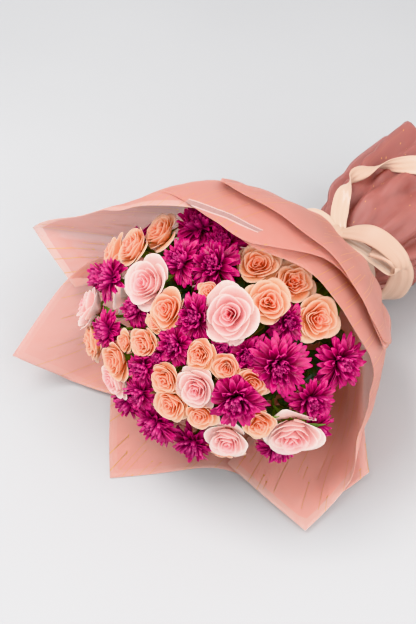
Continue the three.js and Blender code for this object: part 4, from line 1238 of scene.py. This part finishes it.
for node, (layer, first_column, edge, corners) in FILM_SHEETS.items():
    points, uv, rim = film_sheet(layer, first_column, edge, corners)
    finish = film_with_strip if node == "film_front_middle" else film
    hem = np.array([[FILM_HEMS.get(node, 0.0)]])
    light = np.array([[FILM_LIGHTS.get(node, 0.0)]])
    if node == "film_front_inner":
        # Only the long corner of this sheet lies open and has its hem turned in.
        corner = 1 - smoothstep(uv[..., 0], math.radians(-30) * FILM_MOUTH_RADIUS, 0)
        hem = hem * corner
        light = light * corner
    values = {"uv": uv, "rim": rim, "hem": hem, "open": light}
    mesh = mesh_of(node, [closed_sheet(points, FILM_THICKNESS, **values)], finish)
    piece = show(f"{node}_sheet", mesh)
    finish_piece(piece, "pink_film", node)
    print("area", round(half_area(piece), 3), "length", round(uv[..., 1].max(), 3))

# %% [markdown]
# ## Twine, band and bow
# The stems are bound with twine under the film. Over the film runs a satin ribbon: a band round
# the tie, a knot and a loose turn at the right, 38 mm wide, and a bow of two loops and two ends,
# 25 mm wide. Each part is a strip that follows a line of points with a direction across it, and
# it is narrower where the knot pinches it.

# %% Finishes of the twine and the satin
def twine_material():
    material, tree, shader = new_material("twine", Roughness=0.9)
    uv = add(tree, "ShaderNodeTexCoord").outputs["Object"]
    fibre = add(tree, "ShaderNodeTexNoise", {"Vector": uv, "Scale": 900, "Detail": 4}).outputs["Fac"]
    colour = blend(tree, fibre, rgb(120, 92, 58), rgb(196, 168, 124))
    tree.links.new(colour, shader.inputs["Base Color"])
    bump = add(tree, "ShaderNodeBump", {"Strength": 0.6, "Distance": 0.0004, "Height": fibre})
    tree.links.new(bump.outputs[0], shader.inputs["Normal"])
    return material


def satin_material():
    """The face shines and the back is dull, as on single-faced satin."""
    material, tree, shader = new_material("satin", Sheen_Weight=0.1, Specular_IOR_Level=0.85)
    uv = add(tree, "ShaderNodeTexCoord").outputs["UV"]
    threads = add(tree, "ShaderNodeTexWave", {"Vector": uv, "Scale": 900, "Distortion": 0.4}).outputs["Fac"]
    # The streaks along the ribbon, lighter and darker in the colour of both faces, are painted sheen and
    # painted shade; the same noise also bumps the surface.
    stretch = add(tree, "ShaderNodeVectorMath", {0: uv, 1: (260, 14, 1)}, operation="MULTIPLY").outputs[0]
    sheen = add(tree, "ShaderNodeTexNoise", {"Vector": stretch, "Scale": 1, "Detail": 2}).outputs["Fac"]
    face = blend(tree, sheen, rgb(176, 148, 126), rgb(224, 202, 184))
    dull = blend(tree, sheen, rgb(180, 150, 130), rgb(194, 166, 146))
    tree.links.new(blend(tree, value_of(tree, "back"), face, dull), shader.inputs["Base Color"])
    tree.links.new(maths(tree, "MULTIPLY_ADD", value_of(tree, "back"), 0.3, 0.21), shader.inputs["Roughness"])
    bump = add(tree, "ShaderNodeBump", {"Strength": 0.1, "Distance": 0.0001, "Height": threads})
    bump = add(tree, "ShaderNodeBump", {
        "Strength": 0.35, "Distance": 0.0008, "Height": sheen, "Normal": bump.outputs[0]})
    tree.links.new(bump.outputs[0], shader.inputs["Normal"])
    return material


twine, satin = twine_material(), satin_material()

# %% The twine round the stems
TWINE_RADIUS = 0.0016
TWINE_TURNS = 6
TWINE_DRUM = 0.0398


def spiral_tree():
    """A cord wound on a drum. It is a spiral curve with a round section."""
    number = "NodeSocketFloat"
    tree, start, end = new_tree("GeometryNodeTree", "winding", {
        "Geometry": ("NodeSocketGeometry", None), "Turns": (number, 6), "Drum": (number, 0.04),
        "Width": (number, 0.02), "Cord": (number, 0.0016), "Material": ("NodeSocketMaterial", None),
    }, {"Geometry": "NodeSocketGeometry"})
    spiral = add(tree, "GeometryNodeCurveSpiral", {
        "Resolution": 64, "Rotations": start["Turns"], "Start Radius": start["Drum"],
        "End Radius": start["Drum"], "Height": start["Width"]}).outputs[0]
    section = {"Resolution": 8, "Radius": start["Cord"]}
    ring = add(tree, "GeometryNodeCurvePrimitiveCircle", section).outputs[0]
    cord = add(tree, "GeometryNodeCurveToMesh", {
        "Curve": spiral, "Profile Curve": ring, "Fill Caps": True}).outputs[0]
    turned = add(tree, "GeometryNodeTransform", {
        "Geometry": cord, "Rotation": (-math.pi / 2, 0, 0)}).outputs[0]
    return end_tree(tree, turned, start, end)


mesh = grown(host_of([(0, 0, 0)]), spiral_tree(), turns=float(TWINE_TURNS), drum=TWINE_DRUM,
             width=TWINE_TURNS * TWINE_RADIUS * 2, cord=TWINE_RADIUS, material=twine)
mesh.transform(Matrix.Translation((0, TIE_Y - TWINE_TURNS * TWINE_RADIUS, TIE_Z)))
finish_piece(show("binding_twine_cord", mesh), "twine", "binding_twine")

# %% The ribbon's strips
RIBBON_WIDTH = 0.038
BOW_WIDTH = 0.025
RIBBON_THICKNESS = 0.0005
KNOT = np.array((-0.003, 0.225, 0.1408))
# For each strip its width, then rows of a point in mm, a direction across, and a share of the width.
RIBBON_STRIPS = {
    "wrap": (RIBBON_WIDTH, [
        ((48, 230, 146), (-0.3, 0.9, 0.3), 0.65), ((70, 232, 150), (-0.3, 0.9, 0.3), 0.65),
        ((86, 234, 143), (0.4, 0.7, 0.4), 0.65), ((91, 235, 124), (0.74, 0.67, 0), 0.8),
        ((89, 234, 102), (0.74, 0.67, 0), 0.85), ((81, 232, 82), (0.74, 0.67, 0), 0.85),
        ((64, 229, 66), (0.5, 0.85, 0), 0.85), ((40, 227, 52), (0.2, 1, 0), 0.8),
        ((10, 226, 32), (0, 1, 0), 0.75)]),
    "loop_right": (BOW_WIDTH, [
        ((-3, 226, 143), (0, 1, 0.3), 0.6), ((20, 228, 157), (-0.1, 0.85, 0.5), 0.85),
        ((42, 230, 165), (-0.1, 0.79, 0.61), 1), ((64, 232, 162), (-0.2, 0.75, 0.65), 1),
        ((84, 234, 150), (0.1, 0.7, 0.7), 0.9), ((90, 234, 136), (0.6, 0.7, 0.3), 0.8),
        ((80, 231, 128), (0.2, 1, 0.1), 0.8), ((58, 229, 132), (0, 1, 0), 0.8),
        ((32, 227, 138), (0, 1, 0), 0.8), ((-3, 225, 140), (0, 1, 0), 0.6)]),
    "loop_left": (BOW_WIDTH, [
        ((-3, 225, 141), (0, 1, 0), 0.6), ((-28, 227, 152), (0, 1, 0), 0.8),
        ((-52, 227, 148), (0, 1, 0), 0.9), ((-72, 226, 130), (0, 1, 0), 1),
        ((-78, 226, 106), (0, 1, 0), 1), ((-68, 226, 98), (0, 1, 0), 0.9),
        ((-58, 225, 114), (0, 1, 0), 0.8), ((-36, 225, 133), (0, 1, 0), 0.8),
        ((-3, 225, 139), (0, 1, 0), 0.6)]),
    "long_end": (BOW_WIDTH, [
        ((-4, 232, 143), (0.74, 0.67, 0), 0.6), ((-14, 242, 148), (0.74, 0.67, 0), 0.8),
        ((-22, 254, 150), (0.74, 0.67, 0), 0.9), ((-31, 270, 157), (0.74, 0.67, 0.1), 0.85),
        ((-37, 286, 166), (0.6, 0.2, 0.7), 0.8), ((-38, 298, 170), (-0.2, -0.2, 0.9), 0.8),
        ((-34, 311, 172), (-0.77, 0.18, 0.61), 0.75), ((-22, 333, 175), (-0.5, 0.5, -0.7), 0.7),
        ((-5, 345, 180), (0.5, 0.1, -0.8), 0.8), ((17, 359, 184), (0.77, -0.18, -0.61), 0.95),
        ((40, 372, 182), (0.77, -0.18, -0.61), 0.95)]),
    "short_end": (BOW_WIDTH, [
        ((-8, 232, 139), (0.1, 1, 0), 0.6), ((-36, 236, 142), (0.2, 1, 0), 0.9),
        ((-62, 240, 126), (0.2, 1, 0), 1), ((-80, 244, 98), (0.1, 1, 0), 1),
        ((-90, 248, 64), (0, 1, 0.1), 1), ((-96, 252, 28), (0, 1, 0.1), 1)]),
}


def strip(line, widths, shares, wide=RIBBON_WIDTH, bow=0.0012, columns=13):
    """A strip along a line. It bows a little across, and pleats where it is pinched."""
    ahead = np.gradient(line, axis=0)
    ahead /= np.linalg.norm(ahead, axis=1, keepdims=True)
    side = widths - ahead * np.sum(widths * ahead, axis=1, keepdims=True)
    side /= np.linalg.norm(side, axis=1, keepdims=True)
    normal = np.cross(ahead, side)
    w = np.linspace(-1, 1, columns)[None, :, None]
    shares = np.asarray(shares)[:, None, None]
    lift = bow * (1 - w ** 2) + 0.0022 * np.clip(1 - shares, 0, 0.5) * np.cos(w * 9)
    grid = line[:, None] + side[:, None] * w * shares * wide / 2 + normal[:, None] * lift
    along = np.concatenate([[0], np.cumsum(np.linalg.norm(np.diff(line, axis=0), axis=1))])
    uv = np.stack(np.broadcast_arrays((w[..., 0] + 1) / 2 * wide, along[:, None]), -1)
    return closed_sheet(grid, RIBBON_THICKNESS, uv=uv), along[-1]


for name, (wide, rows) in RIBBON_STRIPS.items():
    table = np.array([(*point, *width, share) for point, width, share in rows], float)
    table = smooth_through(table, 12)
    made, length = strip(table[:, :3] / 1000, table[:, 3:6], table[:, 6], wide)
    piece = show(f"ribbon_{name}", mesh_of(name, [made], satin))
    finish_piece(piece, "satin_ribbon", "ribbon_bow")

# %% The band and the knot
# Both go a little more than once round, so that their ends overlap.
BAND_STEPS = 120
BAND_LAPS = 1.06
BAND_RADIUS = 0.0500
KNOT_STEPS = 64
KNOT_LAPS = 1.05

turns = np.linspace(0, 1, BAND_STEPS)
angle = math.radians(100) - turns * math.tau * BAND_LAPS
radius = BAND_RADIUS + 0.0005 * turns + 0.0004 * np.sin(angle * 5)
line = np.stack([radius * np.cos(angle), TIE_Y + 0 * angle, TIE_Z + radius * np.sin(angle)], -1)
across = np.tile((0, 1.0, 0), (BAND_STEPS, 1))
made, length = strip(line, across, np.full(BAND_STEPS, 0.98), bow=0.0004, columns=17)
piece = show("ribbon_band_strip", mesh_of("ribbon_band", [made], satin))
finish_piece(piece, "satin_ribbon", "ribbon_band")

turns = np.linspace(0, 1, KNOT_STEPS)
angle = -math.pi / 2 + turns * math.tau * KNOT_LAPS
line = KNOT + np.stack([
    0 * angle,
    (0.0125 + 0.0006 * turns) * np.cos(angle),
    (0.0068 + 0.0006 * turns) * np.sin(angle)], -1)
across = np.tile((1.0, 0, 0), (KNOT_STEPS, 1))
made, length = strip(line, across, np.full(KNOT_STEPS, 0.6), bow=0.0014, columns=17)
piece = show("ribbon_knot_strip", mesh_of("ribbon_knot", [made], satin))
finish_piece(piece, "satin_ribbon", "ribbon_bow")

# %% [markdown]
# ## Floor and light
# A pale, plain floor under soft light: a large lamp from the upper left, a wider and weaker one
# from the other side, and a nearly white sky. The soft shadow falls to the lower right.

# %% Floor
FLOOR_HALF = 4
FLOOR_Z = -0.0006
floor_mesh = bpy.data.meshes.new("floor")
corners = [(x * FLOOR_HALF, y * FLOOR_HALF, FLOOR_Z) for x, y in ((-1, -1), (1, -1), (1, 1), (-1, 1))]
floor_mesh.from_pydata(corners, [], [(0, 1, 2, 3)])
floor = show("floor", floor_mesh)
material, tree, shader = new_material("floor", Roughness=0.7)
speckle = add(tree, "ShaderNodeTexNoise", {
    "Vector": add(tree, "ShaderNodeTexCoord").outputs["Object"], "Scale": 3, "Detail": 2}).outputs["Fac"]
tree.links.new(blend(tree, speckle, rgb(168, 168, 168), rgb(173, 173, 173)), shader.inputs["Base Color"])
floor_mesh.materials.append(material)

# %% Lights
def area_light(name, offset, size, power):
    """A square lamp at an offset from the point the camera looks at, and turned towards it."""
    data = bpy.data.lights.new(name, "AREA")
    data.energy, data.size = power, size
    lamp = bpy.data.objects.new(name, data)
    lamp.matrix_world = Matrix.Translation(AIM + offset) @ offset.to_track_quat("Z", "Y").to_matrix().to_4x4()
    bpy.context.scene.collection.objects.link(lamp)


area_light("key", (-view_right * 0.7 + view_up * 0.9 + to_eye * 1.0) * 1.3, 1.3, 42)
area_light("fill", (view_right * 0.7 - view_up * 0.1 + to_eye * 1.1) * 1.4, 2.0, 34)
world = bpy.data.worlds.new("sky")
world.use_nodes = True
sky = world.node_tree.nodes["Background"].inputs
sky["Color"].default_value = rgb(252, 252, 255)
sky["Strength"].default_value = 1.1
bpy.context.scene.world = world
